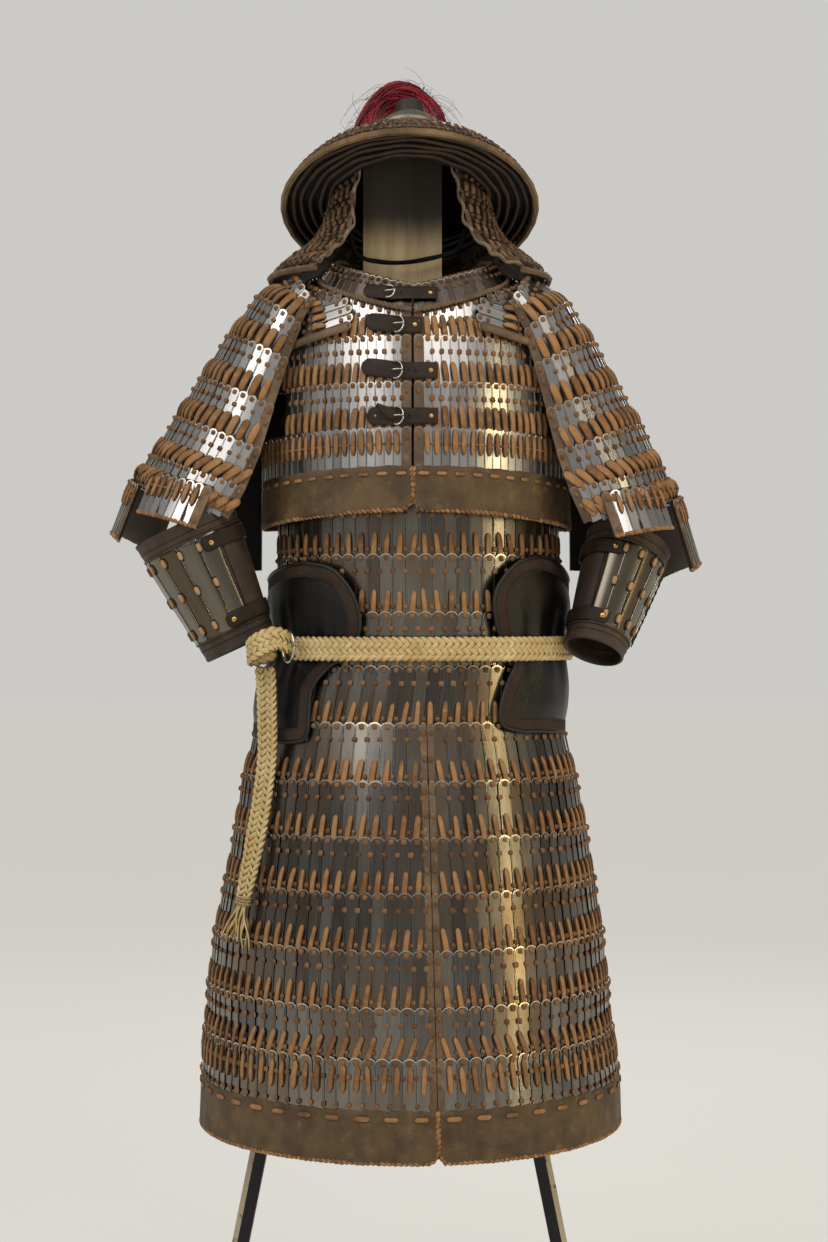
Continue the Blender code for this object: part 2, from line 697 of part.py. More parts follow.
def yoke(name, side):
    """Shoulder yoke: laced rows over the shoulder, from the chest to the back."""
    def point(u, v):
        angle = side * (YOKE_FIRST + YOKE_SWEEP * u)
        fade = (abs(sin(angle)) - YOKE_FADE[0]) / YOKE_FADE[1]
        low = YOKE_LOW + YOKE_SHOULDER * min(1.0, max(0.0, fade))
        high = vest_neck(angle) - 0.004
        return lifted(VEST_FORM, angle, low + (high - low) * v, YOKE_LIFT)

    wall(name, point, steps(12), steps(4), "bright_plates", LEATHER, flip=side < 0)


yoke("vest_yoke_left", -1)
yoke("vest_yoke_right", 1)


def collar_point(u, v):
    """Standing collar from the neck line up and a little inward, open at the front."""
    middle = angle_at(VEST_FORM, VEST_SLIT_X, NECK_FRONT)
    angle = middle + COLLAR_GAP + (tau - 2 * COLLAR_GAP) * u
    base = lifted(VEST_FORM, angle, vest_neck(angle), YOKE_LIFT)
    lean = 1.0 + (COLLAR_LEAN - 1.0) * v
    drop = COLLAR_DROP * (sin(angle) ** 2 if cos(angle) > 0 else 1.0)
    return Vector((NECK_X + (base.x - NECK_X) * lean, base.y * lean,
                   base.z + 0.001 + (COLLAR_HEIGHT - drop) * v))


wall("collar", collar_point, steps(32), steps(1), "plates")


def strap_point(row, u, v):
    """Point of a buckle strap across the front opening, lifted off the plates."""
    height, left, right, width, _ = row
    z = height + width * (v - 0.5)
    x = left + (right - left) * u
    if height > NECK_FRONT + 0.01:
        base = collar_point(0.0, (z - NECK_FRONT) / COLLAR_HEIGHT)
        along = sqrt(1 - ((x - NECK_X) / COLLAR_REACH) ** 2)
        return Vector((x, base.y * along - STRAP_LIFT - 2 * LEATHER, z))
    return lifted(VEST_FORM, angle_at(VEST_FORM, x, z), z, STRAP_LIFT + LEATHER)


for number, row in enumerate(STRAPS, 1):
    wall("strap_%d" % number, lambda u, v, row=row: strap_point(row, u, v),
         steps(7), steps(1), "strap_leather", LEATHER)
    share = (row[4] - row[1]) / (row[2] - row[1])
    seat = strap_point(row, share, 0.5)
    ahead = (strap_point(row, share + 0.05, 0.5) - seat).normalized()
    rise = (strap_point(row, share, 1.0) - strap_point(row, share, 0.0)).normalized()
    normal = ahead.cross(rise).normalized()
    centre = seat + normal * (BUCKLE_WIRE + 0.0032)
    tube("buckle_%d" % number,
         [centre + ahead * (BUCKLE_RADIUS * 0.8 * cos(turn)) + rise * (BUCKLE_RADIUS * 1.15 * sin(turn))
          for turn in steps(12, 0, tau)[:-1]], BUCKLE_WIRE, "buckle_steel", closed=True, resolution=1)


# ---------------------------------------------------------------- shoulder guards
def guard_point(table, side, spread, share, out=0.0):
    """Point on a shoulder guard: an arc round the arm, at a share of the way down."""
    rows = [(index, *row) for index, row in enumerate(table)]
    key = share * (len(table) - 1)
    line_x, height, lean, inset, depth = (smooth(rows, column, key) for column in range(1, 6))
    beyond = max(0.0, key - len(table) + 1)
    radius = inset / (1 - cos(GUARD_SPREAD))
    lean = radians(lean)
    outward = Vector((side * cos(lean), 0, sin(lean)))
    down = Vector((side * sin(lean), 0, -cos(lean)))
    reach = radius * (1 - cos(spread)) - out * cos(spread)
    line = Vector((line_x, 0, height)) + down * (beyond * GUARD_BEYOND)
    return line - outward * reach - Vector((0, (depth + out) * sin(spread), 0))


def shoulder_guard(name, table, side):
    """Main sheet of a guard, then its flaps, hung just outside the last row."""
    def sheet_point(u, v):
        spread = GUARD_SPREAD * (2 * u - 1)
        return guard_point(table, side, spread, v * (1 - GUARD_EDGE_RISE * (2 * u - 1) ** 2))

    def flap_point(row, u, v):
        label, first, last, start, end, push = row
        spread = radians(first + (last - first) * u)
        top = guard_point(table, side, spread, start + (end - start) * u, FLAP_LIFT)
        lean = FLAP_HANG[side > 0]
        length = FLAP_LENGTHS[label][side > 0]
        hang = Vector((side * sin(lean), 0, -cos(lean))) * length
        return top + hang * v + Vector((0, -sin(spread), 0)) * (push * v)

    wall(name, sheet_point, steps(12), steps(7), "bright_plates", flip=side > 0)
    for row in FLAPS:
        wall("%s_flap_%s" % (name, row[0]), lambda u, v, row=row: flap_point(row, u, v),
             steps(5), steps(1), "bright_plates", flip=side > 0)


shoulder_guard("shoulder_guard_left", GUARD_LEFT, -1)
shoulder_guard("shoulder_guard_right", GUARD_RIGHT, 1)


# ---------------------------------------------------------------- vambraces
def vambrace(name, row):
    """Tapered oval tube of splints with a leather band at each end and a wrist strap."""
    bottom = Vector(row[0])
    top = Vector(row[1])
    widen = row[2]
    axis = (top - bottom).normalized()
    length = (top - bottom).length
    front = (Vector((0, -1, 0)) + axis * axis.y).normalized()
    across = axis.cross(front)

    def point(angle, share, out):
        radius = WRIST_RADIUS + (ELBOW_RADIUS - WRIST_RADIUS) * share + VAMBRACE_BULGE * sin(pi * share)
        ring = across * (sin(angle) * (radius * widen + out)) + front * (cos(angle) * (radius / widen + out))
        return bottom + axis * (length * share) + ring

    def sleeve(label, low, high, out, rows, kind):
        wall(label, lambda u, v: point(tau * u, low + (high - low) * v, out),
             steps(16), steps(rows), kind, closed=True)

    sleeve(name, CUFF_SHARE + BAND_GAP_SHARE, TOP_BAND_SHARE - BAND_GAP_SHARE, 0.0, 2, "bright_plates")
    sleeve(name + "_cuff", 0.0, CUFF_SHARE, BAND_OUT, 1, "hem_leather")
    sleeve(name + "_top_band", TOP_BAND_SHARE, 1.0, BAND_OUT, 1, "hem_leather")
    side = -1 if bottom.x > 0 else 1

    def strap(u, v):
        angle = side * (STRAP_FROM + (STRAP_TO - STRAP_FROM) * u)
        return point(angle, STRAP_LOW + (STRAP_HIGH - STRAP_LOW) * v, LEATHER + STRAP_CLEAR)

    wall(name + "_strap", strap, steps(9), steps(1), "strap_leather", LEATHER, flip=side < 0)


vambrace("vambrace_left", VAMBRACE_LEFT)
vambrace("vambrace_right", VAMBRACE_RIGHT)


# ---------------------------------------------------------------- helmet and aventail
def helmet_point(turn, away, rise):
    """Point given by its turn from the front, distance from the helmet's axis and rise."""
    front = away * cos(turn)
    return HELMET_CENTRE + Vector((away * sin(turn),
                                   rise * sin(HELMET_TILT) - front * cos(HELMET_TILT),
                                   rise * cos(HELMET_TILT) + front * sin(HELMET_TILT)))


def bowl_point(u, row):
    """Point of the bowl round its axis, lowered at the front by its profile row's drop."""
    turn = tau * u
    away, rise, drop = HELMET_PROFILE[row]
    return helmet_point(turn, away, rise - drop * max(0.0, cos(turn)) ** HELMET_FLAT_POWER)


wall("helmet_bowl", bowl_point, steps(32), range(len(HELMET_PROFILE)), "plates", closed=True)
loft("helmet_rim", [[helmet_point(turn, RIM_RADIUS + RIM_ROLL * cos(roll), RIM_ROLL * sin(roll))
                     for roll in steps(6, 0, tau)[:-1]] for turn in steps(36, 0, tau)[:-1]],
     "hem_leather", closed_path=True)


def turned(name, profile, kind, sides=24):
    """Closed turned piece on the helmet's axis, each profile row (distance, rise)."""
    mesh = bmesh.new()
    rings = [[mesh.verts.new(helmet_point(turn, away, rise)) for turn in steps(sides, 0, tau)[:-1]]
             for away, rise in profile]
    for low, high in zip(rings, rings[1:]):
        for index in range(sides):
            after = (index + 1) % sides
            mesh.faces.new((low[index], low[after], high[after], high[index]))
    mesh.faces.new(rings[0][::-1])
    mesh.faces.new(rings[-1])
    data = bpy.data.meshes.new(name)
    mesh.to_mesh(data)
    mesh.free()
    data.shade_smooth()
    return add_object(name, data, kind)


turned("helmet_crown", CROWN_PROFILE, "bright_plates")
turned("helmet_finial", FINIAL_PROFILE, "dark_steel")
tube("plume", smooth_route(PLUME_ROUTE, 18), PLUME_RADIUS, "hair", resolution=3)


def aventail_point(u, v):
    """Lamellar curtain from the helmet's inner ring down, flared over the shoulders."""
    out = smooth(AVENTAIL_TABLE, 1, v)
    down = smooth(AVENTAIL_TABLE, 2, v)
    start = radians(smooth(AVENTAIL_TABLE, 4, v))
    end = tau - radians(smooth(AVENTAIL_TABLE, 3, v))
    turn = start + (end - start) * u
    top = helmet_point(turn, AVENTAIL_RING, AVENTAIL_RISE)
    depth = AVENTAIL_HEM_FRONT if cos(turn) > 0 else AVENTAIL_HEM_BACK
    back = max(0.0, -cos(turn))
    hem = Vector((HELMET_CENTRE.x + AVENTAIL_HEM_WIDTH * sin(turn), -depth * cos(turn),
                  AVENTAIL_HEM_SIDE_Z + (AVENTAIL_HEM_BACK_Z - AVENTAIL_HEM_SIDE_Z) * back))
    return Vector((top.x + (hem.x - top.x) * out, top.y + (hem.y - top.y) * out,
                   top.z + (hem.z - top.z) * down))


AVENTAIL_TABLE = [(index / (len(AVENTAIL_ROWS) - 1), *row) for index, row in enumerate(AVENTAIL_ROWS)]
wall("aventail", aventail_point, steps(24), steps(6), "plates")

hem_route = []
for share in steps(24):
    edge = aventail_point(share, 1.0)
    along = (aventail_point(min(share + 0.01, 1.0), 1.0) - aventail_point(max(share - 0.01, 0.0), 1.0))
    down = edge - aventail_point(share, 0.98)
    ahead = down - along * (down.dot(along) / along.dot(along))
    hem_route.append(edge + ahead.normalized() * (AVENTAIL_ROLL + AVENTAIL_ROLL_GAP))
tube("aventail_hem", hem_route, AVENTAIL_ROLL, "hem_leather", resolution=1)
tube("chin_strap", smooth_route(CHIN_ROUTE, 24), CHIN_WIDTH / 2, "cord_black")


# ---------------------------------------------------------------- stand
def box(name, low, high, kind, collection=suit):
    """Box between two corners."""
    mesh = bmesh.new()
    bmesh.ops.create_cube(mesh, size=1.0)
    size = Vector(high) - Vector(low)
    middle = (Vector(high) + Vector(low)) / 2
    for vertex in mesh.verts:
        vertex.co = Vector([c * s for c, s in zip(vertex.co, size)]) + middle
    data = bpy.data.meshes.new(name)
    mesh.to_mesh(data)
    mesh.free()
    return add_object(name, data, kind, collection)


box("stand_board", (BOARD_X[0], BOARD_Y[0], BOARD_Z[0]), (BOARD_X[1], BOARD_Y[1], BOARD_Z[1]), "plywood")


def outline_board(name, points, low, high, kind):
    """Board cut to an outline in the XZ plane, between two depths."""
    rings = [[Vector((x, depth, z)) for x, z in points] for depth in (low, high)]
    return loft(name, rings, kind)


arms_left = ((-0.040, ARMS_TOP - 0.060), (-0.196, ARMS_TOP - 0.062), (-0.214, 1.422), (-0.216, 1.172),
             (-0.256, 1.170), (-0.252, 1.425), (-0.240, 1.460), (-0.216, ARMS_TOP - 0.007),
             (-0.188, ARMS_TOP))
arms_right = tuple((ARMS_MIDDLE * 2 - x, z) for x, z in reversed(arms_left))
outline_board("stand_arms", arms_left + arms_right, ARMS_Y[0], ARMS_Y[1], "black_board")


def leg_x(height):
    """Distance of a leg's middle from the stand's, bowed from the foot to the shoulders."""
    return LEG_TOP_X + LEG_SPREAD * max(0.0, 1 - height / LEG_TOP) ** LEG_CURVE


def leg(name, side):
    """Bowed leg with a pale chamfer at its outer front corner, joined to its long foot."""
    half = LEG_THICKNESS / 2
    front, back = LEG_Y
    rings = []
    for height in steps(10, LEG_LOW, LEG_TOP):
        middle = LEG_MIDDLE_X + side * leg_x(height)
        rings.append([Vector((middle - side * half, front, height)),
                      Vector((middle - side * half, back, height)),
                      Vector((middle + side * half, back, height)),
                      Vector((middle + side * half, front + LEG_CUT, height)),
                      Vector((middle + side * (half - LEG_CUT), front, height))])
    made = loft(name, rings, "black_board")
    middle = LEG_MIDDLE_X + side * leg_x(0.0)
    centre = (front + back) / 2
    reach = FOOT_LENGTH / 2
    wide = half + FOOT_SIDE
    foot = box(name + "_foot_form", (middle - wide, centre - reach, 0.0),
               (middle + wide, centre + reach, FOOT_HEIGHT), "black_board", cutters)
    foot.hide_render = True
    foot.display_type = "WIRE"
    joined = made.modifiers.new("foot", "BOOLEAN")
    joined.operation = "UNION"
    joined.solver = "EXACT"
    joined.object = foot


leg("stand_leg_left", -1)
leg("stand_leg_right", 1)
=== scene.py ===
"""Lamellar armour on its stand: its laced plates, leather, rope belt and fittings.

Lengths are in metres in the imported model's frame, +Z up and the suit's front towards -Y.
"""

import bpy
import numpy as np
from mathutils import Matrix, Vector


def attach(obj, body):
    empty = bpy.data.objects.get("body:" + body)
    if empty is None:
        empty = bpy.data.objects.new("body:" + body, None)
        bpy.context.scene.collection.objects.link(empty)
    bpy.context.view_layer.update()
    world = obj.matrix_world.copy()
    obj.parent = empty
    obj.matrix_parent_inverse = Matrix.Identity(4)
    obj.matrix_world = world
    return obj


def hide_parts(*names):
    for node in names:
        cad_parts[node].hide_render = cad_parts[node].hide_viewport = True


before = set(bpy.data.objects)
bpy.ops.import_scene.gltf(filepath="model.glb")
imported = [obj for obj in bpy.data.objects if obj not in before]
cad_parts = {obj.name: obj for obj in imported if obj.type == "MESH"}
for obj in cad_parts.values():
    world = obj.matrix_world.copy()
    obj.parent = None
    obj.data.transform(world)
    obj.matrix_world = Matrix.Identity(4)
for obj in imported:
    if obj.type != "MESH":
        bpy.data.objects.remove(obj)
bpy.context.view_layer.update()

draw = np.random.default_rng(11)


# ------------------------ stand
# The stand is cut from boards: a bare plywood board at the neck, and a black painted shoulder
# board with drop arms on two bowed legs, whose front chamfers are rubbed down to pale wood.
class Field:
    """A value over a surface: a node's output, on which arithmetic adds Math nodes."""

    def __init__(self, finish, socket):
        self.finish = finish
        self.socket = socket

    def __add__(self, other):
        return self.finish.maths("ADD", self, other)

    def __sub__(self, other):
        return self.finish.maths("SUBTRACT", self, other)

    def __rsub__(self, other):
        return self.finish.maths("SUBTRACT", other, self)

    def __mul__(self, other):
        return self.finish.maths("MULTIPLY", self, other)

    def __truediv__(self, other):
        return self.finish.maths("DIVIDE", self, other)

    __radd__, __rmul__ = __add__, __mul__


class Finish:
    """One material: a Principled shader with fixed sockets, and fields linked to the others."""

    def __init__(self, name, **fixed):
        self.material = bpy.data.materials.new(name)
        self.material.use_nodes = True
        self.tree = self.material.node_tree
        self.shader = self.tree.nodes["Principled BSDF"]
        for socket, value in fixed.items():
            self.shader.inputs[socket.replace("_", " ")].default_value = value

    def node(self, kind, settings=None, inputs=None, output=0):
        """Adds a node: its settings first, then its inputs."""
        made = self.tree.nodes.new("ShaderNode" + kind)
        for key, value in (settings or {}).items():
            setattr(made, key, value)
        for key, value in (inputs or {}).items():
            self.feed(made.inputs[key], value)
        return Field(self, made.outputs[output])

    def feed(self, socket, value):
        if isinstance(value, Field):
            self.tree.links.new(value.socket, socket)
        else:
            socket.default_value = value

    def maths(self, operation, *values):
        return self.node("Math", {"operation": operation}, dict(enumerate(values)))

    def step(self, value, low, high):
        """Share from 0 to 1 as a value goes from low to high, smoothly."""
        return self.node("MapRange", {"interpolation_type": "SMOOTHSTEP"},
                         {"Value": value, "From Min": low, "From Max": high})

    def mix(self, share, first, second):
        """Colour from the first to the second by a share; each is a field or a swatch."""
        first, second = (item if isinstance(item, Field) else colour(*item) for item in (first, second))
        return self.node("Mix", {"data_type": "RGBA"}, {0: share, 6: first, 7: second}, 2)

    def axis(self, vector, name):
        """One axis of a vector."""
        return self.node("SeparateXYZ", None, {0: vector}, name)

    def place(self, stretch=(1.0, 1.0, 1.0)):
        """Object coordinates, stretched along the axes."""
        here = self.node("TexCoord", output="Object")
        return self.node("Mapping", None, {"Vector": here, "Scale": stretch})

    def noise(self, scale, detail=3.0, roughness=0.5, vector=None, stretch=(1.0, 1.0, 1.0)):
        """Soft noise of a number of cycles per metre."""
        return self.node("TexNoise", None, {"Vector": vector or self.place(stretch), "Scale": scale,
                                            "Detail": detail, "Roughness": roughness})

    def finish(self, **fields):
        """Links fields to the shader's sockets, and a height field through a Bump node."""
        height = fields.pop("height", None)
        depth = fields.pop("depth", 0.001)
        for socket, value in fields.items():
            self.feed(self.shader.inputs[socket.replace("_", " ")], value)
        if height is not None:
            bump = self.node("Bump", None, {"Strength": 1.0, "Distance": depth, "Height": height})
            self.feed(self.shader.inputs["Normal"], bump)
        return self.material


def colour(red, green, blue):
    """Linear colour of a swatch given in 0 to 255."""
    swatch = np.array((red, green, blue)) / 255
    linear = np.where(swatch > 0.04045, ((swatch + 0.055) / 1.055) ** 2.4, swatch / 12.92)
    return (*map(float, linear), 1.0)


def wear(material, slot, *nodes):
    """Gives CAD nodes their material; the slot is not used."""
    for node in nodes:
        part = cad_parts[node]
        part.data.materials.clear()
        part.data.materials.append(material)


HELMET_SHADE, COLLAR_SHADE = (1.630, 1.702), (1.578, 1.566)  # heights over which each darkens the board
DIAGONAL = 0.7071      # x and y of the direction that a chamfer of 45 degrees faces
ply = Finish("plywood")
grain = ply.noise(9.0, 5.0, 0.55, stretch=(5.0, 5.0, 0.35))
flake = ply.noise(260.0, 2.0, 0.6, stretch=(1.0, 1.0, 0.16))
ply_colour = ply.mix(ply.step(grain, 0.30, 0.72), (205, 182, 140), (170, 144, 104))
ply_colour = ply.mix(ply.step(flake, 0.58, 0.80) * 0.35, ply_colour, (120, 96, 66))
ply_height = ply.axis(ply.place(), "Z")
shaded = ply.maths("MAXIMUM", ply.step(ply_height + 0.02 * grain, *HELMET_SHADE) * 0.96,
                   ply.step(ply_height, *COLLAR_SHADE))
ply_colour = ply.mix(shaded, ply_colour, (15, 8, 3))
wear(ply.finish(Base_Color=ply_colour, Roughness=0.55 + 0.15 * grain, height=flake, depth=0.0004),
     "plywood", "stand_board")

paint = Finish("black_paint", Specular_IOR_Level=0.4)
facing = paint.node("NewGeometry", output="Normal")
chamfer = paint.maths("ABSOLUTE", paint.axis(facing, "X"))
toward = paint.axis(facing, "Y") * -1.0
scuff = paint.noise(70.0, 4.0, 0.6)
rubbed = paint.step(chamfer * DIAGONAL + toward * DIAGONAL, 0.93, 0.98) * paint.step(scuff, 0.30, 0.46)
paint_colour = paint.mix(rubbed, (17, 17, 17), (186, 172, 146))
black_paint = paint.finish(Base_Color=paint_colour, Roughness=0.42 + 0.25 * scuff, height=scuff, depth=0.0003)
wear(black_paint, "black_board", "stand_arms", "stand_leg_left", "stand_leg_right")


# ------------------------ lacing
# Every laced piece is made the same way: rows of thin steel plates with round tops, each row
# lapped over the foot of the row above, held by knots and flat thongs of tan leather.
def unit(vectors):
    """Vectors of length one."""
    return vectors / np.maximum(np.linalg.norm(vectors, axis=-1, keepdims=True), 1e-12)


def joined(*parts):
    """Points or marks from their parts, each spread to one shape."""
    return np.stack(np.broadcast_arrays(*parts), -1)


def shares(count):
    """Even shares from 0 to 1."""
    return np.linspace(0, 1, count)


def turned(first, second, angle):
    """Directions turned from the first towards the second, each by its angle."""
    return first * np.cos(angle)[:, None] + second * np.sin(angle)[:, None]


def lengths_along(line):
    """Length along a line from its first point to each of its points."""
    return np.concatenate(([0.0], np.cumsum(np.linalg.norm(np.diff(line, axis=0), axis=1))))


def smooth(table, column, key):
    """Cubic through a table's rows: a column read at keys in the table's first column."""
    rows = np.asarray(table, float)
    keys, values = rows[:, 0], rows[:, column]
    last = len(keys) - 1
    order = np.arange(last + 1)
    before, after = np.maximum(order - 1, 0), np.minimum(order + 1, last)
    slopes = (values[after] - values[before]) / (keys[after] - keys[before])
    key = np.clip(key, keys[0], keys[-1])
    row = np.clip(np.searchsorted(keys, key) - 1, 0, last - 1)
    width = keys[row + 1] - keys[row]
    t = (key - keys[row]) / width
    return (values[row] * (2 * t**3 - 3 * t**2 + 1) + values[row + 1] * (3 * t**2 - 2 * t**3)
            + slopes[row] * width * (t**3 - 2 * t**2 + t) + slopes[row + 1] * width * (t**3 - t**2))


def axes_at(surface, u, v, out=0.0):
    """Point and unit axes (across, up, outward) of a surface, by central differences."""
    step = 0.002
    point = surface(u, v, out)
    across = surface(u + step, v, out) - surface(u - step, v, out)
    up = surface(u, v + step, out) - surface(u, v - step, out)
    outward = unit(np.cross(across, up))
    across = unit(across)
    return point, across, np.cross(outward, across), outward


scene = bpy.context.scene


def place_in_scene(name, data):
    """Object with its data, in the scene."""
    made = bpy.data.objects.new(name, data)
    scene.collection.objects.link(made)
    return made


class Stock:
    """Points, faces and plate coordinates gathered for one mesh."""

    def __init__(self):
        self.points, self.faces, self.marks, self.caps = [], [], [], []
        self.count = 0

    def add(self, points, faces, marks=None, caps=()):
        """Adds points (n, 3) with four-cornered faces (m, 4), and end caps of any count."""
        points = np.asarray(points, float).reshape(-1, 3)
        self.points.append(points)
        self.faces.append(np.asarray(faces) + self.count)
        self.caps += [[corner + self.count for corner in cap] for cap in caps]
        self.marks.append(np.zeros((len(points), 2)) if marks is None else marks.reshape(-1, 2))
        self.count += len(points)

    def copies(self, form, centre, axes, size, bow=None, numbers=None):
        """Adds copies of a form: centre + across*x*width + up*y*length + outward*(z*height + bow),
        their plate coordinates raised by their numbers."""
        points, faces, marks = form
        local = points[None] * size[:, None, :]
        if bow is not None:
            local[..., 2] += bow[:, None] * np.sin(np.pi * np.clip(points[:, 1], 0, 1))[None]
        placed = centre[:, None, :] + np.einsum("nkj,njc->nkc", local, axes)
        count = len(centre)
        shift = (np.arange(count) * len(points))[:, None, None]
        if numbers is None:
            numbers = joined(np.arange(count), 0.0)
        self.add(placed, (faces[None] + shift).reshape(-1, 4), marks[None] + numbers[:, None, :])

    def build(self, name, material, slot, replaces=()):
        """Makes the mesh and rides it on the suit; the slot is not used."""
        data = bpy.data.meshes.new(name)
        faces = np.concatenate(self.faces).tolist() + self.caps
        data.from_pydata(np.concatenate(self.points), [], faces)
        layer = data.uv_layers.new(name="plate")
        corners = np.empty(len(data.loops), np.int32)
        data.loops.foreach_get("vertex_index", corners)
        layer.data.foreach_set("uv", np.concatenate(self.marks)[corners].astype(np.float32).ravel())
        data.shade_smooth()
        data.materials.append(material)
        piece = place_in_scene(name, data)
        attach(piece, "root")
        if replaces:
            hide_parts(*replaces)
        return piece


def quads(rows, columns, wrap=False):
    """Faces of a grid of points, counter-clockwise from outside."""
    index = np.arange(rows * columns).reshape(rows, columns)
    if wrap:
        index = np.concatenate((index, index[:, :1]), 1)
    return joined(index[:-1, :-1], index[:-1, 1:], index[1:, 1:], index[1:, :-1]).reshape(-1, 4)


PLATE_FALL = 0.12      # how far a plate's sides fall behind its middle, in thicknesses
PLATE_MARKS = (0.02, 0.96)     # lowest of its coordinates, and how far they run


def plate_form(arch):
    """Plate with a round top: x from -1/2 to 1/2, y from 0 to 1; its top falls by arch*(1-cos) to
    the sides, its face goes back as x squared, and a rim runs back one thickness."""
    columns, rows = 7, 3
    lean = np.linspace(-np.pi / 2, np.pi / 2, columns)
    x = np.sin(lean) / 2
    share = shares(rows)[:, None]
    face = joined(x, share * (1 - arch * (1 - np.cos(lean))), -PLATE_FALL * (2 * x) ** 2).reshape(-1, 3)
    low, span = PLATE_MARKS
    marks = joined(low + span * (x + 0.5), low + span * share).reshape(-1, 2)
    index = np.arange(rows * columns).reshape(rows, columns)
    edge = np.concatenate((index[:, -1], index[-1, -2::-1], index[-2::-1, 0]))
    points = np.concatenate((face, face[edge], face[edge] - np.array((0, 0, 1.0))))
    start, count = rows * columns, len(edge)
    side = start + np.arange(count - 1)
    rim = joined(side, side + count, side + count + 1, side + 1)
    faces = np.concatenate((quads(rows, columns), rim))
    return points, faces, np.concatenate((marks, marks[edge], marks[edge]))


def thong_form(point=0.25, taper=0.0, heel=0.0, rows=6):
    """Flat thong: y from 0 to 1, tapering to a round end over its last part, and to a round heel
    over its first, with a soft section."""
    share = (1 - np.cos(np.pi * shares(rows))) / 2
    narrow = np.sqrt(np.clip(1 - ((share - (1 - point)) / point).clip(0) ** 2, 0.03, 1)) * (1 - taper * share)
    if heel:
        narrow *= np.sqrt(np.clip(1 - ((heel - share) / heel).clip(0) ** 2, 0.03, 1))
    x = np.array((-0.5, -0.5, -0.36, 0.36, 0.5, 0.5))
    z = np.array((-0.5, 0.62, 1.0, 1.0, 0.62, -0.5))
    tall = 0.55 + 0.45 * np.sqrt(np.clip(1 - share**6, 0, 1))
    points = joined(x * narrow[:, None], share[:, None], z * tall[:, None])
    marks = joined(x + 0.5, share[:, None]) * 0.9 + 0.05
    return points.reshape(-1, 3), quads(rows, 6), marks.reshape(-1, 2)


def knot_form():
    """Low dome over the unit circle: a 4 by 4 grid of points drawn onto a round."""
    line = np.array((-1.0, -0.55, 0.55, 1.0))
    x, y = np.meshgrid(line, line)
    square = np.maximum(np.abs(x), np.abs(y))
    scale = square / np.maximum(np.hypot(x, y), 1e-9)
    x, y = x * scale / 2, y * scale / 2
    z = np.where(square > 0.9, -0.12, 1.0)
    return joined(x, y, z).reshape(-1, 3), quads(4, 4), joined(x + 0.5, y + 0.5).reshape(-1, 2)


KNOT, BAR = knot_form(), thong_form(0.10, 0.0, 0.10, 5)
KNOT_MARK = np.array((0.0, 40.0))  # added to a knot's plate coordinates, which darkens it
KNOT_LIFT, KNOT_DRIFT, KNOT_SPREAD = 0.0012, 0.0004, 0.07
THONG_LIFT = 0.0006
THONG_TURN, THONG_WIDE, THONG_LONG, THONG_BOW = 0.035, 0.06, 0.03, 0.25    # spread of each
STRIP_HIGH, STRIP_LOW = 0.0012, 0.0015     # how much higher an edge strip lies than its row


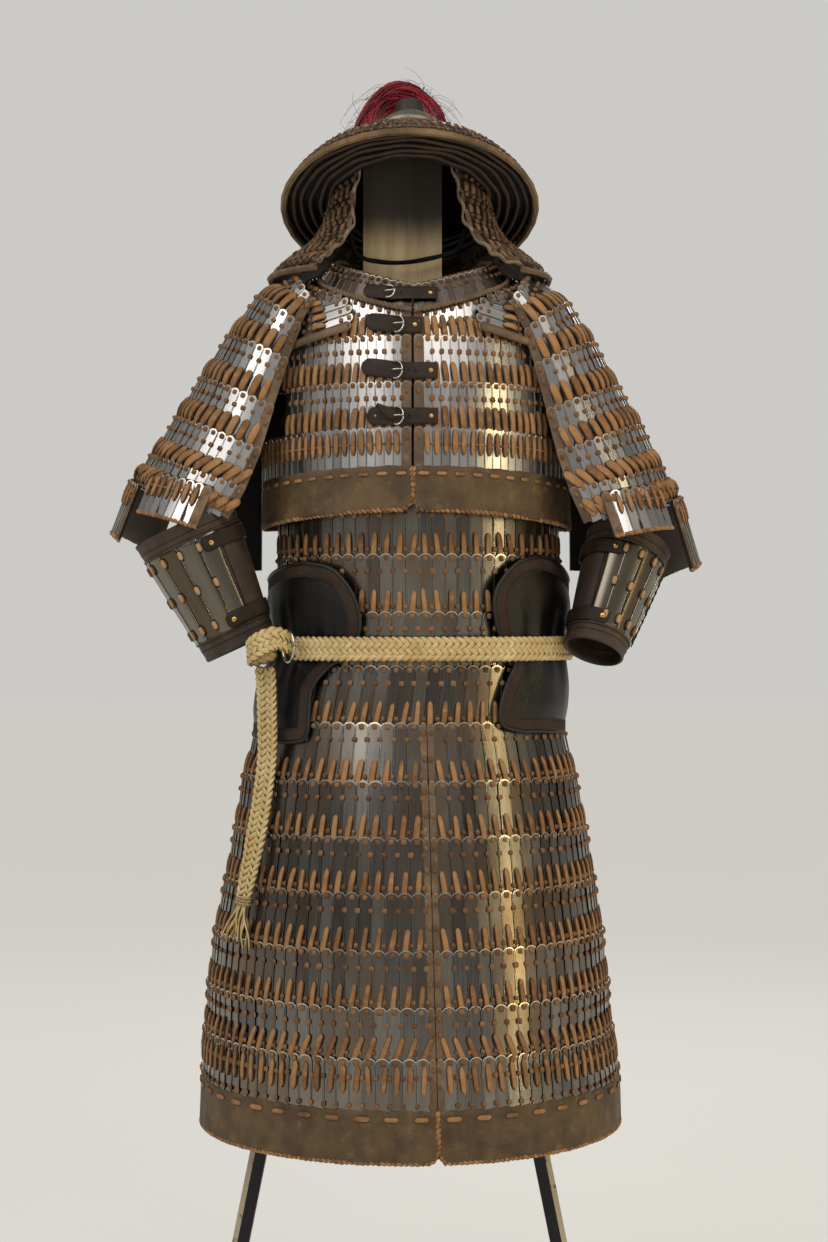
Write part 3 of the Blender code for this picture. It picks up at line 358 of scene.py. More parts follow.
class Lacing:
    """Plates, leather laces and leather edge strips of one garment, row by row. A knot is given by
    the end of the plate that it is measured from, its distance, its share of the pitch aside, width
    and height; a thong also by its length, slant, bow and form."""

    def __init__(self, name, **style):
        self.name = name
        self.style = style
        self.plates, self.laces, self.edging = Stock(), Stock(), Stock()
        self.rows = 0

    def row(self, surface, top, foot, first=0.0, last=1.0, edges=(0.0, 0.0), **changes):
        """Lays one row between two heights of a surface. Plates are spaced evenly by the row's
        own length; an edge width above zero puts a leather strip at that end."""
        style = {**self.style, **changes}
        reach = np.linspace(first, last, 301)
        run = lengths_along(surface(reach, np.full(301, (top + foot) / 2), 0.0))
        start, end = edges[0], run[-1] - edges[1]
        count = max(1, round((end - start) / style["pitch"]))
        pitch = (end - start) / count
        stations = start + pitch * (np.arange(count) + 0.5)
        self.lay(surface, np.interp(stations, run, reach), top, foot, pitch, style, self.plates)
        strip = {**style, "thongs": (), "knots": style["edge_knots"], "tilt": 0.0,
                 "high": style["high"] + STRIP_HIGH, "low": style["low"] + STRIP_LOW}
        for width, at in zip(edges, (edges[0] / 2, run[-1] - edges[1] / 2)):
            if width:
                self.lay(surface, np.array([np.interp(at, run, reach)]), top, foot, width, strip,
                         self.edging, style["edge_arch"])
        self.rows += 1

    def lay(self, surface, u, top, foot, pitch, style, stock, rounder=1.0):
        """Lays plates at stations u: each is rigid, from its top over the row above to its foot
        under the row below, leaning over its neighbour by the tilt."""
        count = len(u)
        head = surface(u, np.full(count, top), style["high"])
        base = surface(u, np.full(count, foot), style["low"])
        length = np.linalg.norm(head - base, axis=1)
        up = unit(head - base)
        across = axes_at(surface, u, np.full(count, (top + foot) / 2))[1]
        outward = unit(np.cross(across, up))
        across = np.cross(up, outward)
        lean = style["tilt"] * style.get("lap", 1) + draw.normal(0, style["jitter"], count)
        nod = draw.normal(0, style["jitter"] * 0.4, count)
        side = turned(across, outward, lean)
        tall = unit(up + turned(outward, -across, lean) * nod[:, None])
        axes = np.stack((side, tall, unit(np.cross(side, tall))), 1)
        full = length + style["under"]
        size = joined(pitch * style["lapped"], full, style["gauge"])
        numbers = joined(np.arange(count) + 1.0, self.rows + 1.0)
        form = plate_form(rounder * (style["arch"] / full.mean()))
        stock.copies(form, base - up * style["under"], axes, size, numbers=numbers)

        def spot(anchor, distance, phase):
            down = np.broadcast_to(distance if anchor == "top" else length - distance, count)
            return head - up * down[:, None] + across * (phase * pitch)

        for anchor, distance, phase, wide, tall_knot in style["knots"]:
            drift = across * draw.normal(0, KNOT_DRIFT, count)[:, None]
            place = spot(anchor, distance, phase) + drift + outward * KNOT_LIFT
            size = np.array((wide, tall_knot, style["knot_rise"]))
            size = size * (1 + draw.normal(0, KNOT_SPREAD, (count, 1)))
            self.laces.copies(KNOT, place, np.stack((across, up, outward), 1), size,
                              numbers=numbers + KNOT_MARK)
        for anchor, distance, long, phase, wide, slant, bow, shape in style["thongs"]:
            rise = turned(up, across, slant + draw.normal(0, THONG_TURN, count))
            size = joined(wide * (1 + draw.normal(0, THONG_WIDE, count)),
                          long * (1 + draw.normal(0, THONG_LONG, count)), style["thong_rise"])
            self.laces.copies(shape, spot(anchor, distance, phase) + outward * THONG_LIFT,
                              np.stack((np.cross(rise, outward), rise, outward), 1), size,
                              bow=bow * (1 + draw.normal(0, THONG_BOW, count)))

    def build(self, steel, lace, slot):
        """Makes the garment's pieces."""
        self.plates.build(self.name + "_plates", steel, slot)
        self.laces.build(self.name + "_laces", lace, "strap_leather")
        if self.edging.count:
            self.edging.build(self.name + "_edging", strip_leather, "hem_leather")


def plate_marks(made):
    """A plate's number, and the shares across and along it, from its plate coordinates."""
    mark = made.node("UVMap", {"uv_map": "plate"})
    number = made.node("VectorMath", {"operation": "FLOOR"}, {0: mark})
    local = made.node("VectorMath", {"operation": "FRACTION"}, {0: mark})
    return number, made.axis(local, "X"), made.axis(local, "Y")


def own_tone(made, number):
    """A share from 0 to 1 drawn for each number."""
    return made.node("TexWhiteNoise", {"noise_dimensions": "2D"}, {"Vector": number})


def steel_finish(name, dark, light, stain, stained, rough, vary=0.28):
    """Rolled steel: each plate has its own tone, streaks run along it, a painted highlight lines its
    sides and round top with painted shade just inside its sides, and stain gathers in patches."""
    made = Finish(name, Metallic=1.0)
    plate, across, along = plate_marks(made)
    tone = own_tone(made, plate)
    grain_place = made.node("CombineXYZ", None, {0: across * 7.0, 1: along * 1.6, 2: tone * 90.0})
    streak = made.noise(1.0, 4.0, 0.6, vector=grain_place)
    patch = made.noise(12.0, 5.0, 0.55)
    shade = made.step(tone * vary + streak * 0.45 + patch * 0.50, 0.35, 0.67 + vary)
    base = made.mix(shade, dark, light)
    base = made.mix(made.step(patch + 0.25 * streak, 0.52, 0.80) * stained, base, stain)
    side = made.maths("ABSOLUTE", across - 0.5)
    # painted highlight: a bright rim along each plate's side edges and round top
    edge_glint = made.maths("MAXIMUM", made.step(side, 0.458, 0.475), made.step(along, 0.955, 0.972))
    base = made.mix(edge_glint * 0.8, base, (236, 230, 214))
    # painted shade: a dark band just inside each plate's sides, beside the painted highlight
    base = made.mix(made.step(side, 0.385, 0.445) * (1.0 - edge_glint) * 0.85, base, (26, 22, 18))
    coarse = rough + 0.06 * (tone - 0.5) + 0.05 * (streak - 0.5)
    return made.finish(Base_Color=base, Roughness=coarse, height=made.noise(16.0, 1.0, 0.4), depth=0.0003)


def leather_finish(name, dark, light, worn, rough, grain_scale=900.0, depth=0.0004, worn_share=0.5,
                   edged=False, **fixed):
    """Leather: broad mottling, rubbed patches and a fine pebbled grain; an edged strip is darker at
    its sides and lighter along its round top."""
    made = Finish(name, **fixed)
    broad = made.noise(14.0, 5.0, 0.6)
    scar = made.noise(55.0, 6.0, 0.68)
    pebble = made.node("TexVoronoi", {"feature": "F1"}, {"Vector": made.place(), "Scale": grain_scale})
    base = made.mix(made.step(broad * 0.6 + scar * 0.4, 0.36, 0.66), dark, light)
    base = made.mix(made.step(scar, 0.56, 0.74) * worn_share, base, worn)
    base = made.mix(made.step(pebble, 0.35, 0.75) * 0.25, base, dark)
    if edged:
        _, across, along = plate_marks(made)
        side = made.maths("ABSOLUTE", across - 0.5)
        base = made.mix(made.step(side, 0.40, 0.47) * 0.7, base, (34, 24, 16))
        base = made.mix(made.step(along, 0.955, 0.972) * 0.8, base, worn)
    return made.finish(Base_Color=base, Roughness=rough + 0.14 * (scar - 0.5), height=pebble + scar * 1.5,
                       depth=depth)


def lace_finish(name, dark, light, worn, hole):
    """Thongs and knots: each has its own tone, its sides are darkened by soil and painted contact shade, and
    a knot is darker.
    """
    made = Finish(name, Specular_IOR_Level=0.3)
    number, across, _ = plate_marks(made)
    side = made.maths("ABSOLUTE", across - 0.5)
    knot = made.step(made.axis(number, "Y"), 20.0, 21.0)
    scar = made.noise(75.0, 5.0, 0.62)
    fine = made.noise(1500.0, 2.0, 0.5)
    base = made.mix(made.step(own_tone(made, number) * 0.25 + scar * 0.60, 0.22, 0.60), dark, light)
    base = made.mix(made.step(scar, 0.56, 0.74) * 0.4, base, worn)
    # soil and painted contact shade: a thong darkens towards its sides in the hole colour
    base = made.mix(made.step(side, 0.27, 0.46) * (1.0 - knot) * 0.75, base, hole)
    base = made.mix(knot * 0.34, base, hole)
    return made.finish(Base_Color=base, Roughness=0.64 + 0.16 * scar, height=scar + fine * 0.6, depth=0.0006)


coat_steel = steel_finish("coat_steel", (96, 93, 92), (155, 150, 140), (112, 86, 54), 0.62, 0.26)
bright_steel = steel_finish("bright_steel", (180, 179, 180), (232, 231, 231), (140, 120, 98), 0.22, 0.29)
dark_steel = steel_finish("dark_steel", (70, 66, 62), (136, 130, 122), (84, 60, 40), 0.6, 0.34)
lace_leather = lace_finish("lace_leather", (114, 80, 50), (168, 125, 82), (190, 150, 108), (50, 32, 20))
old_lace = lace_finish("old_lace", (78, 56, 38), (134, 102, 74), (168, 136, 106), (44, 30, 21))
edge_leather = leather_finish("edge_leather", (84, 64, 45), (128, 104, 78), (160, 134, 104), 0.62)
strip_leather = leather_finish("strip_leather", (84, 64, 45), (128, 104, 78), (168, 142, 112), 0.62,
                               edged=True)
hem_leather = leather_finish("hem_leather", (68, 50, 29), (106, 83, 51), (136, 112, 78), 0.66, 1100.0, 0.0003)


# ------------------------ coat
# The long coat: laced rows round the body, and below the waist two front skirts and a back,
# slit at the front. A band of oiled nubuck is sewn over the foot of the last row, held by a line
# of wide stitches and whipped along its edges with tan lace.
COAT_FORM = (
    (0.366, 0.3075, 0.272, 0.008), (0.436, 0.3050, 0.270, 0.008), (0.507, 0.2950, 0.264, 0.005),
    (0.617, 0.2860, 0.251, 0.005), (0.713, 0.2690, 0.234, 0.007), (0.777, 0.2580, 0.219, 0.008),
    (0.832, 0.2490, 0.206, 0.008), (0.867, 0.2430, 0.195, 0.007), (0.900, 0.2320, 0.183, 0.006),
    (0.936, 0.2230, 0.172, 0.006), (1.000, 0.2120, 0.158, 0.012), (1.060, 0.205, 0.155, 0.020),
    (1.120, 0.204, 0.155, 0.020), (1.200, 0.204, 0.154, 0.020), (1.360, 0.202, 0.151, 0.018),
)
SLIT_TOP, SLIT_FOOT = (0.936, 0.031), (0.366, 0.047)  # height and x of the slit's ends
SLIT_GAP = 0.0016
FOLD_WIDTH = 0.016     # strip turned behind the slit from its edging
HEM_TOP, HEM_FOOT = 0.436, 0.366
HEM_LIFT = 0.002
LEATHER = 0.003
WAIST_TOPS = (1.345, 1.270, 1.191, 1.110, 1.034, 0.954)
SKIRT_TOPS = (0.954, 0.874, 0.799, 0.725, 0.649, 0.574, 0.5065, 0.438)
WAIST_LEAN, SKIRT_LEANS = 0.07, (0.12, 0.12, 0.12, 0.12, 0.12, 0.34, 0.05)  # slant of each row's thongs
FOLD_DEPTHS = (-0.0034, -0.0050)   # front and back of the strip, behind the coat's plates


def form_point(form, angle, height):
    """Stacked ellipses: x = middle + width*sin(angle), y = -depth*cos(angle) at each height."""
    width, depth, middle = (smooth(form, column, height) for column in (1, 2, 3))
    return joined(middle + width * np.sin(angle), -depth * np.cos(angle), height)


def lifted(form, angle, height, out):
    """Point of a form moved out along its normal."""
    low = np.maximum(height - 0.002, form[0][0])
    high = np.minimum(height + 0.002, form[-1][0])
    across = form_point(form, angle + 0.01, height) - form_point(form, angle - 0.01, height)
    rise = form_point(form, angle, high) - form_point(form, angle, low)
    return form_point(form, angle, height) + unit(np.cross(across, rise)) * np.asarray(out)[..., None]


def angle_at(form, x, height):
    """Front angle at which a form has the given x."""
    return np.arcsin(np.clip((x - smooth(form, 3, height)) / smooth(form, 1, height), -1, 1))


def slit_x(height):
    """x of the front slit, which leans a little from the waist to the hem."""
    share = (height - SLIT_FOOT[0]) / (SLIT_TOP[0] - SLIT_FOOT[0])
    return SLIT_FOOT[1] + (SLIT_TOP[1] - SLIT_FOOT[1]) * share


def skirt_surface(side):
    """Left (-1) or right (1) front skirt, or the back (0): u across it, and height."""
    def surface(u, height, out):
        if side == 0:
            start, end = np.pi / 2, 3 * np.pi / 2
        elif side > 0:
            start, end = angle_at(COAT_FORM, slit_x(height) + SLIT_GAP / 2, height), np.pi / 2
        else:
            start, end = -np.pi / 2, angle_at(COAT_FORM, slit_x(height) - SLIT_GAP / 2, height)
        return lifted(COAT_FORM, start + (end - start) * u, height, out)
    return surface


def waist_surface(u, height, out):
    """The rows round the body, closed, starting at the back."""
    return lifted(COAT_FORM, np.pi + 2 * np.pi * u, height, out)


def opening_strip(side, width):
    """Widths of the strips at a row's ends: one lies at the front opening, and none at the back."""
    return ((0.0, 0.0), (width, 0.0), (0.0, width))[side]


THONG_COAT = thong_form(0.16, 0.12)
coat = Lacing("coat", pitch=0.0184, high=0.0042, low=0.0008, under=0.008, lapped=1.13, gauge=0.0007,
              arch=0.0092, edge_arch=1.3, tilt=0.080, jitter=0.010, knot_rise=0.0026, thong_rise=0.0021,
              knots=(("top", 0.0070, 0.0, 0.0084, 0.0086), ("top", 0.0250, 0.5, 0.0082, 0.0082),
                     ("low", 0.0060, 0.5, 0.0074, 0.0074)),
              edge_knots=(("top", 0.0160, 0.0, 0.0056, 0.0078), ("low", 0.030, 0.0, 0.0056, 0.0078)))
for top, foot in zip(WAIST_TOPS, WAIST_TOPS[1:]):
    for half, lap in (((0.0, 0.5), 1), ((0.5, 1.0), -1)):
        coat.row(waist_surface, top, foot, *half, lap=lap,
                 thongs=(("low", -0.004, 0.034, 0.0, 0.0084, WAIST_LEAN * lap, 0.0012, THONG_COAT),))
for side in (-1, 1, 0):
    for number, (top, foot) in enumerate(zip(SKIRT_TOPS, SKIRT_TOPS[1:])):
        lean = SKIRT_LEANS[number] * -side
        laced = {"thongs": (("low", -0.004, 0.034, 0.0, 0.0086, lean, 0.0014, THONG_COAT),)}
        if foot == SKIRT_TOPS[-1]:
            laced = {"thongs": (("top", 0.0490, 0.039, 0.0, 0.0082, lean, 0.0010, BAR),),
                     "knots": (("top", 0.0070, 0.0, 0.0084, 0.0086), ("top", 0.0270, 0.5, 0.0080, 0.0082),
                               ("low", 0.0045, 0.5, 0.0076, 0.0078))}
        coat.row(skirt_surface(side), top, foot, edges=opening_strip(side, 0.0085), lap=-side or 1, **laced)
coat.build(coat_steel, lace_leather, "plates")


def mottled_metal(name, metallic, scale, detail, dark, light, rough, spread, depth):
    """Dull metal: one noise gives its tone, its dents and the spread of its roughness."""
    made = Finish(name, Metallic=metallic)
    mottle = made.noise(scale, detail, 0.6)
    return made.finish(Base_Color=made.mix(mottle, dark, light), Roughness=rough + spread * mottle,
                       height=mottle, depth=depth)


plate_backs = mottled_metal("plate_backs", 0.8, 30.0, 5.0, (34, 28, 23), (74, 62, 50), 0.45, 0.2, 0.001)
wear(plate_backs, "plates", "coat_waist", "skirt_left", "skirt_right", "skirt_back")


def shell(stock, outer, inner, closed=False, marks=None):
    """Closed wall between two grids (rows up, columns across), its rim rounded through a ring
    half a thickness beyond the edge."""
    rows, columns = outer.shape[:2]
    count = rows * columns
    face = quads(rows, columns, closed)
    index = np.arange(count).reshape(rows, columns)
    if closed:
        rings = (np.append(index[0], index[0, 0]), np.append(index[-1, ::-1], index[-1, -1]))
    else:
        rings = (np.concatenate((index[0], index[1:, -1], index[-1, -2::-1], index[-2::-1, 0])),)
    row, column = np.divmod(np.arange(count), columns)
    inside_row = np.clip(row, 1, rows - 2)
    inside_column = column if closed else np.clip(column, 1, columns - 2)
    flat_outer, flat_inner = outer.reshape(-1, 3), inner.reshape(-1, 3)
    inside = inside_row * columns + inside_column
    thick = np.linalg.norm(flat_outer - flat_inner, axis=1, keepdims=True)
    beyond = (flat_outer + flat_inner) / 2 + unit(flat_outer - flat_outer[inside]) * thick / 2
    points, faces, rims = [flat_outer, flat_inner], [face, face[:, ::-1] + count], []
    start = 2 * count
    for ring in rings:
        middle = start + np.arange(len(ring) - 1)
        after = np.roll(middle, -1)
        a, b = ring[:-1], ring[1:]
        faces += [joined(middle, after, b, a), joined(a + count, b + count, after, middle)]
        points.append(beyond[a])
        rims.append(a)
        start += len(a)
    marks = (np.zeros((count, 2)) if marks is None else marks).reshape(-1, 2)
    stock.add(np.concatenate(points), np.concatenate(faces),
              np.concatenate([marks, marks] + [marks[rim] for rim in rims]))


def sheet_on(stock, surface, u, v, out, thickness, closed=False, marks=None):
    """Wall on a surface, from parameter grids u (columns) and v (rows), moved out."""
    shell(stock, surface(u, v, out), surface(u, v, out - thickness), closed, marks)


def rounded_foot(low, u_metres, length, radius, ends):
    """Height of a band's foot, raised at its ends so that the corners are round."""
    away = np.full_like(u_metres, 1.0)
    if ends[0]:
        away = np.minimum(away, u_metres)
    if ends[1]:
        away = np.minimum(away, length - u_metres)
    short = np.clip(radius - away, 0, radius)
    return low + radius - np.sqrt(radius**2 - short**2)


def read_along(points, at, run):
    """Points of a line read at places of its run."""
    return joined(*(np.interp(at, run, part) for part in points.T))


def evenly(points, pitch):
    """Places and directions spaced evenly along a line, with the share of its length at each."""
    run = lengths_along(points)
    count = max(1, round(run[-1] / pitch))
    at = (np.arange(count) + 0.5) * run[-1] / count
    ahead = read_along(points, at + 0.001, run) - read_along(points, at - 0.001, run)
    return read_along(points, at, run), unit(ahead), at / run[-1]


def circle(count):
    """Angles spaced evenly round a circle."""
    return np.linspace(0, 2 * np.pi, count, endpoint=False)


def bead_form():
    """Closed bead: an ellipsoid of half size one along y and half across."""
    around, along = 8, 5
    turn = circle(around)
    tall = np.linspace(-0.94, 0.94, along)[:, None]
    ring = np.sqrt(1 - tall**2)
    points = joined(np.cos(turn) * ring, tall, -np.sin(turn) * ring).reshape(-1, 3) / 2
    last, side = (along - 1) * around, np.arange(around // 2 - 1)
    foot = joined(side + 1, side, around - 1 - side, around - 2 - side)
    head = last + joined(side, side + 1, around - 2 - side, around - 1 - side)
    return points, np.concatenate((quads(along, around, True), foot, head)), np.zeros((len(points), 2)) + 0.5


BEAD = bead_form()


def whip(stock, line, outward, pitch, size, turn):
    """Whipped edge: beads laid slantwise along a line, each lapping over the next."""
    places, ahead, share = evenly(line, pitch)
    face = unit(read_along(outward, share, shares(len(outward))))
    tall = turned(ahead, np.cross(ahead, face), turn + draw.normal(0, 0.05, len(places)))
    axes = np.stack((np.cross(tall, face), tall, face), 1)
    stock.copies(BEAD, places, axes, np.array(size) * (1 + draw.normal(0, 0.06, (len(places), 1))))


def outward_at(surface, u, v, out=0.0):
    """Direction out of a surface."""
    return axes_at(surface, u, v, out)[3]


def band_stitches(stock, surface, u, height, out, pitch, size):
    """Wide flat stitches along a level line on a band."""
    places, ahead, share = evenly(surface(u, np.full_like(u, height), out), pitch)
    at = np.interp(share, shares(len(u)), u)
    outward = outward_at(surface, at, np.full_like(share, height), out)
    axes = np.stack((np.cross(ahead, outward), ahead, outward), 1)
    grow = 1 + draw.normal(0, 0.05, (len(places), 1))
    stock.copies(BAR, places - ahead * (size[1] / 2), axes, np.array(size) * grow)


def hem_band(band, laces, surface, length, low, top, radius, ends, lift, waves, grid, whipping, stitches):
    """Band over the foot of a panel, its free ends' corners round, with whipping along its foot
    and ends and a line of stitches below its top. Two waves along it raise its top edge and
    ruffle its foot. Stitches are given by their drop below the top, lift, pitch and size."""
    columns, rows, end_rows = grid
    u = shares(columns)
    foot = rounded_foot(low, u * length, length, radius, ends)
    top_wave, ruffle = waves(u * length)
    rise = shares(rows)[:, None]
    height = foot + (top + top_wave - foot) * rise
    sheet_on(band, surface, np.broadcast_to(u, height.shape), height, lift + ruffle * (1 - rise), LEATHER)
    line_u, line_v, up_end = u, foot, shares(end_rows)[1:]
    if ends[0]:
        line_u = np.append(0 * up_end, line_u)
        line_v = np.append((foot[0] + (top - foot[0]) * up_end)[::-1], line_v)
    if ends[1]:
        line_u = np.append(line_u, 0 * up_end + 1)
        line_v = np.append(line_v, foot[-1] + (top - foot[-1]) * up_end)
    line = surface(line_u, line_v, HEM_LIFT - LEATHER / 2)
    whip(laces, line, outward_at(surface, line_u, line_v), *whipping)
    band_stitches(laces, surface, u, top - stitches[0], *stitches[1:])


HEM_LENGTHS = (0.92, 0.44, 0.44)  # rough length of the back, right and left band
HEM_ROUND = 0.014      # radius of its lower corners
HEM_WHIPPING = (0.0074, (0.0056, 0.0106, 0.0058), 0.42)  # pitch, bead and slant
hem, hem_lace = Stock(), Stock()
for side in (-1, 1, 0):
    hem_band(hem, hem_lace, skirt_surface(side), HEM_LENGTHS[side], HEM_FOOT, HEM_TOP, HEM_ROUND,
             (side > 0, side < 0), HEM_LIFT,
             lambda run: (0.0006 * np.sin(run * 160), 0.0007 * np.sin(run * 95)), (121, 15, 24),
             HEM_WHIPPING, (0.0105, HEM_LIFT + 0.0002, 0.040, (0.0075, 0.0205, 0.0018)))
hem_piece = hem.build("coat_hem", hem_leather, "hem_leather",
                      ("skirt_hem_left", "skirt_hem_right", "skirt_hem_back"))
hem_whip = hem_lace.build("coat_hem_lace", lace_leather, "strap_leather")
strap_leather = leather_finish("strap_leather", (30, 21, 15), (54, 39, 28), (86, 66, 48), 0.55, 1300.0,
                               0.0003, 0.35, Specular_IOR_Level=0.3)
wear(strap_leather, "strap_leather", "coat_strap_left", "coat_strap_right")
slit_fold = Stock()
level, aside = np.meshgrid(np.linspace(HEM_FOOT + 0.006, SLIT_TOP[0], 60), np.linspace(-0.5, 0.5, 5),
                           indexing="ij")
fold_angle = angle_at(COAT_FORM, slit_x(level) + FOLD_WIDTH * aside, level)
shell(slit_fold, *(lifted(COAT_FORM, fold_angle, level, depth) for depth in FOLD_DEPTHS))
slit_fold.build("coat_slit_fold", strap_leather, "strap_leather")


# ------------------------ waist guard
# A wrap of soft black leather round the waist, open at the front between two round lobes. A strip
# of brown suede is sewn along its edges inside a black piping, and the belt gathers it in.
WAIST_GUARD_FORM = (
    (0.915, 0.2300, 0.187, 0.006), (0.950, 0.2290, 0.182, 0.007), (1.000, 0.2270, 0.174, 0.012),
    (1.035, 0.2185, 0.170, 0.020), (1.057, 0.2165, 0.169, 0.020), (1.080, 0.2180, 0.170, 0.020),
    (1.120, 0.2210, 0.173, 0.020), (1.200, 0.2200, 0.173, 0.020),
)
GUARD_EDGES = (  # share up the edge, then each edge's angle in degrees and height, left and right
    (0.00, -47.0, 0.924, 44.0, 0.940), (0.10, -39.5, 0.932, 35.0, 0.950),
    (0.22, -38.8, 0.966, 33.6, 0.976), (0.34, -39.2, 1.002, 36.0, 1.012),
    (0.44, -35.5, 1.030, 38.4, 1.038), (0.54, -26.5, 1.054, 33.4, 1.062),
    (0.64, -22.4, 1.084, 30.0, 1.092), (0.74, -23.0, 1.116, 28.7, 1.126),
    (0.83, -27.0, 1.146, 32.0, 1.154), (0.92, -34.5, 1.170, 40.5, 1.180),
    (1.00, -46.0, 1.178, 52.0, 1.188),
)
GUARD_FOOT, GUARD_TOP, GUARD_BLEND = 0.930, 1.152, 0.20
BELT_HEIGHT = 1.057
BORDER = 0.0190        # width of the suede strip with its black margin
MARGIN = 0.0036        # width of the black margin outside it
PIPING = (0.0056, 0.0062)      # width and thickness
MARK_SCALE = 10.0      # plate coordinates per metre from the edge


def waist_guard_surface(s, v, out):
    """Wrap from the right front edge (s = 0) round the back to the left one; each edge's shape
    fades out over the first part of the wrap."""
    u = s - 0.60 * np.sin(2 * np.pi * s) / (2 * np.pi)
    left, left_height, right, right_height = (smooth(GUARD_EDGES, column, v) for column in (1, 2, 3, 4))
    near_right = np.clip(1 - u / GUARD_BLEND, 0, None) ** 2
    near_left = np.clip(1 - (1 - u) / GUARD_BLEND, 0, None) ** 2
    first, last = GUARD_EDGES[0][3], 360 + GUARD_EDGES[0][1]
    angle = first + (last - first) * u + near_right * (right - first) + near_left * (left + 360 - last)
    height = GUARD_FOOT + (GUARD_TOP - GUARD_FOOT) * v
    right_t, left_t = np.clip(u / GUARD_BLEND, 0, 1), np.clip((1 - u) / GUARD_BLEND, 0, 1)
    near_right, near_left = 1 - right_t**2 * (3 - 2 * right_t), 1 - left_t**2 * (3 - 2 * left_t)
    height = height + near_right * (right_height - height) + near_left * (left_height - height)
    return lifted(WAIST_GUARD_FORM, np.radians(angle), height, out)


def sweep(stock, line, face, wide, thick, sides=8, closed=False, marks=None):
    """Tube of oval section along a line: point = line + side*cos*wide/2 - face*sin*thick/2."""
    count = len(line)
    ahead = unit(np.roll(line, -1, 0) - np.roll(line, 1, 0) if closed else np.gradient(line, axis=0))
    side = unit(np.cross(ahead, face))
    flat = np.cross(side, ahead)
    turn = circle(sides)
    wide, thick = (np.broadcast_to(size, count)[:, None, None] / 2 for size in (wide, thick))
    ring = (line[:, None] + side[:, None] * np.cos(turn)[:, None] * wide
            - flat[:, None] * np.sin(turn)[:, None] * thick)
    faces, caps = quads(count, sides, True), ()
    first = np.arange(sides)
    last = first + (count - 1) * sides
    if closed:
        around = joined(last, np.roll(last, -1), np.roll(first, -1), first)
        faces = np.concatenate((faces, around))
    else:
        caps = (first[::-1].tolist(), last.tolist())
    if marks is None:
        marks = joined(lengths_along(line)[:, None] * 100, turn / (2 * np.pi))
    stock.add(ring, faces, marks, caps)


GATHER = 0.040         # how far above and below the belt its folds reach
FOLD_RISE, PUFF, SLACK, BORDER_RISE = 0.0024, 0.0034, 0.0017, 0.0009
columns, rows = 241, 61
guard_s, guard_v = np.meshgrid(shares(columns), shares(rows))
guard_edge_s = np.concatenate((shares(columns), np.ones(rows - 1), np.linspace(1, 0, columns),
                               np.zeros(rows - 1)))
guard_edge_v = np.concatenate((np.zeros(columns), shares(rows - 1), np.ones(columns),
                               np.linspace(1, 0, rows - 1)))
middle = waist_guard_surface(guard_s, guard_v, 0.0).reshape(-1, 3)
edge = waist_guard_surface(guard_edge_s, guard_edge_v, 0.0)
square = (middle**2).sum(1)[:, None] + (edge**2).sum(1)[None] - 2 * middle @ edge.T
from_edge = np.sqrt(np.clip(square.min(1), 0, None)).reshape(guard_s.shape)
turn = np.arctan2(middle[:, 0], -middle[:, 1]).reshape(guard_s.shape)
rise = middle[:, 2].reshape(guard_s.shape) - BELT_HEIGHT
gathered = np.exp(-(np.abs(rise) / GATHER) ** 1.4)
folds = (np.sin(turn * 19 + 1.2 * np.sin(turn * 5)) + 0.6 * np.sin(turn * 43 + 8 * rise)) * FOLD_RISE
puff = PUFF * np.clip((from_edge - BORDER) / 0.020, 0, 1) ** 0.6 * (1 - 0.85 * gathered)
slack = (SLACK * np.sin(turn * 7 + 24 * rise) * np.sin(rise * 38 + 2 * turn)
         * np.clip((from_edge - BORDER) / 0.03, 0, 1))
border_step = BORDER_RISE * np.clip((BORDER - from_edge) / 0.0012, 0, 1)
out = puff + slack + border_step + folds * gathered * np.clip((from_edge - 0.010) / 0.02, 0, 1)
guard = Stock()
sheet_on(guard, waist_guard_surface, guard_s, guard_v, out, LEATHER,
         marks=joined(from_edge * MARK_SCALE, guard_s))
hide = Finish("waist_guard_leather", Specular_IOR_Level=0.30)
from_rim = hide.axis(hide.node("UVMap", {"uv_map": "plate"}), "X") / MARK_SCALE
suede = (hide.step(from_rim, BORDER + 0.0004, BORDER - 0.0004)
         * hide.step(from_rim, MARGIN - 0.0004, MARGIN + 0.0004))
nap = hide.noise(700.0, 3.0, 0.6)
patchy = hide.noise(30.0, 5.0, 0.65)
pebble = hide.node("TexVoronoi", {"feature": "F1"}, {"Vector": hide.place(), "Scale": 850.0})
groove = hide.step(hide.maths("ABSOLUTE", from_rim - (BORDER - 0.0022)), 0.0006, 0.0001)
black = hide.mix(patchy, (9, 8, 8), (19, 18, 17))
brown = hide.mix(hide.step(patchy * 0.6 + nap * 0.5, 0.35, 0.75), (38, 27, 20), (68, 50, 36))
hide_colour = hide.mix(groove * suede * 0.8, hide.mix(suede, black, brown), (16, 12, 10))
waist_leather = hide.finish(Base_Color=hide_colour, Roughness=0.27 + 0.08 * patchy + 0.42 * suede,
                            height=pebble * 0.5 + nap * suede * 1.2 - groove * 1.5, depth=0.0005)
guard_piece = guard.build("waist_guard_wrap", waist_leather, "black_leather", ("waist_guard",))
piping = Stock()
edge_out = outward_at(waist_guard_surface, guard_edge_s, np.clip(guard_edge_v, 0.004, 0.996))
sweep(piping, (edge - edge_out * 0.0006)[:-1], edge_out[:-1], *PIPING, closed=True)
piping_leather = leather_finish("piping_leather", (12, 11, 11), (26, 24, 23), (44, 40, 37), 0.40, 1400.0,
                                0.0002, 0.2)
piping_piece = piping.build("waist_guard_piping", piping_leather, "black_leather")


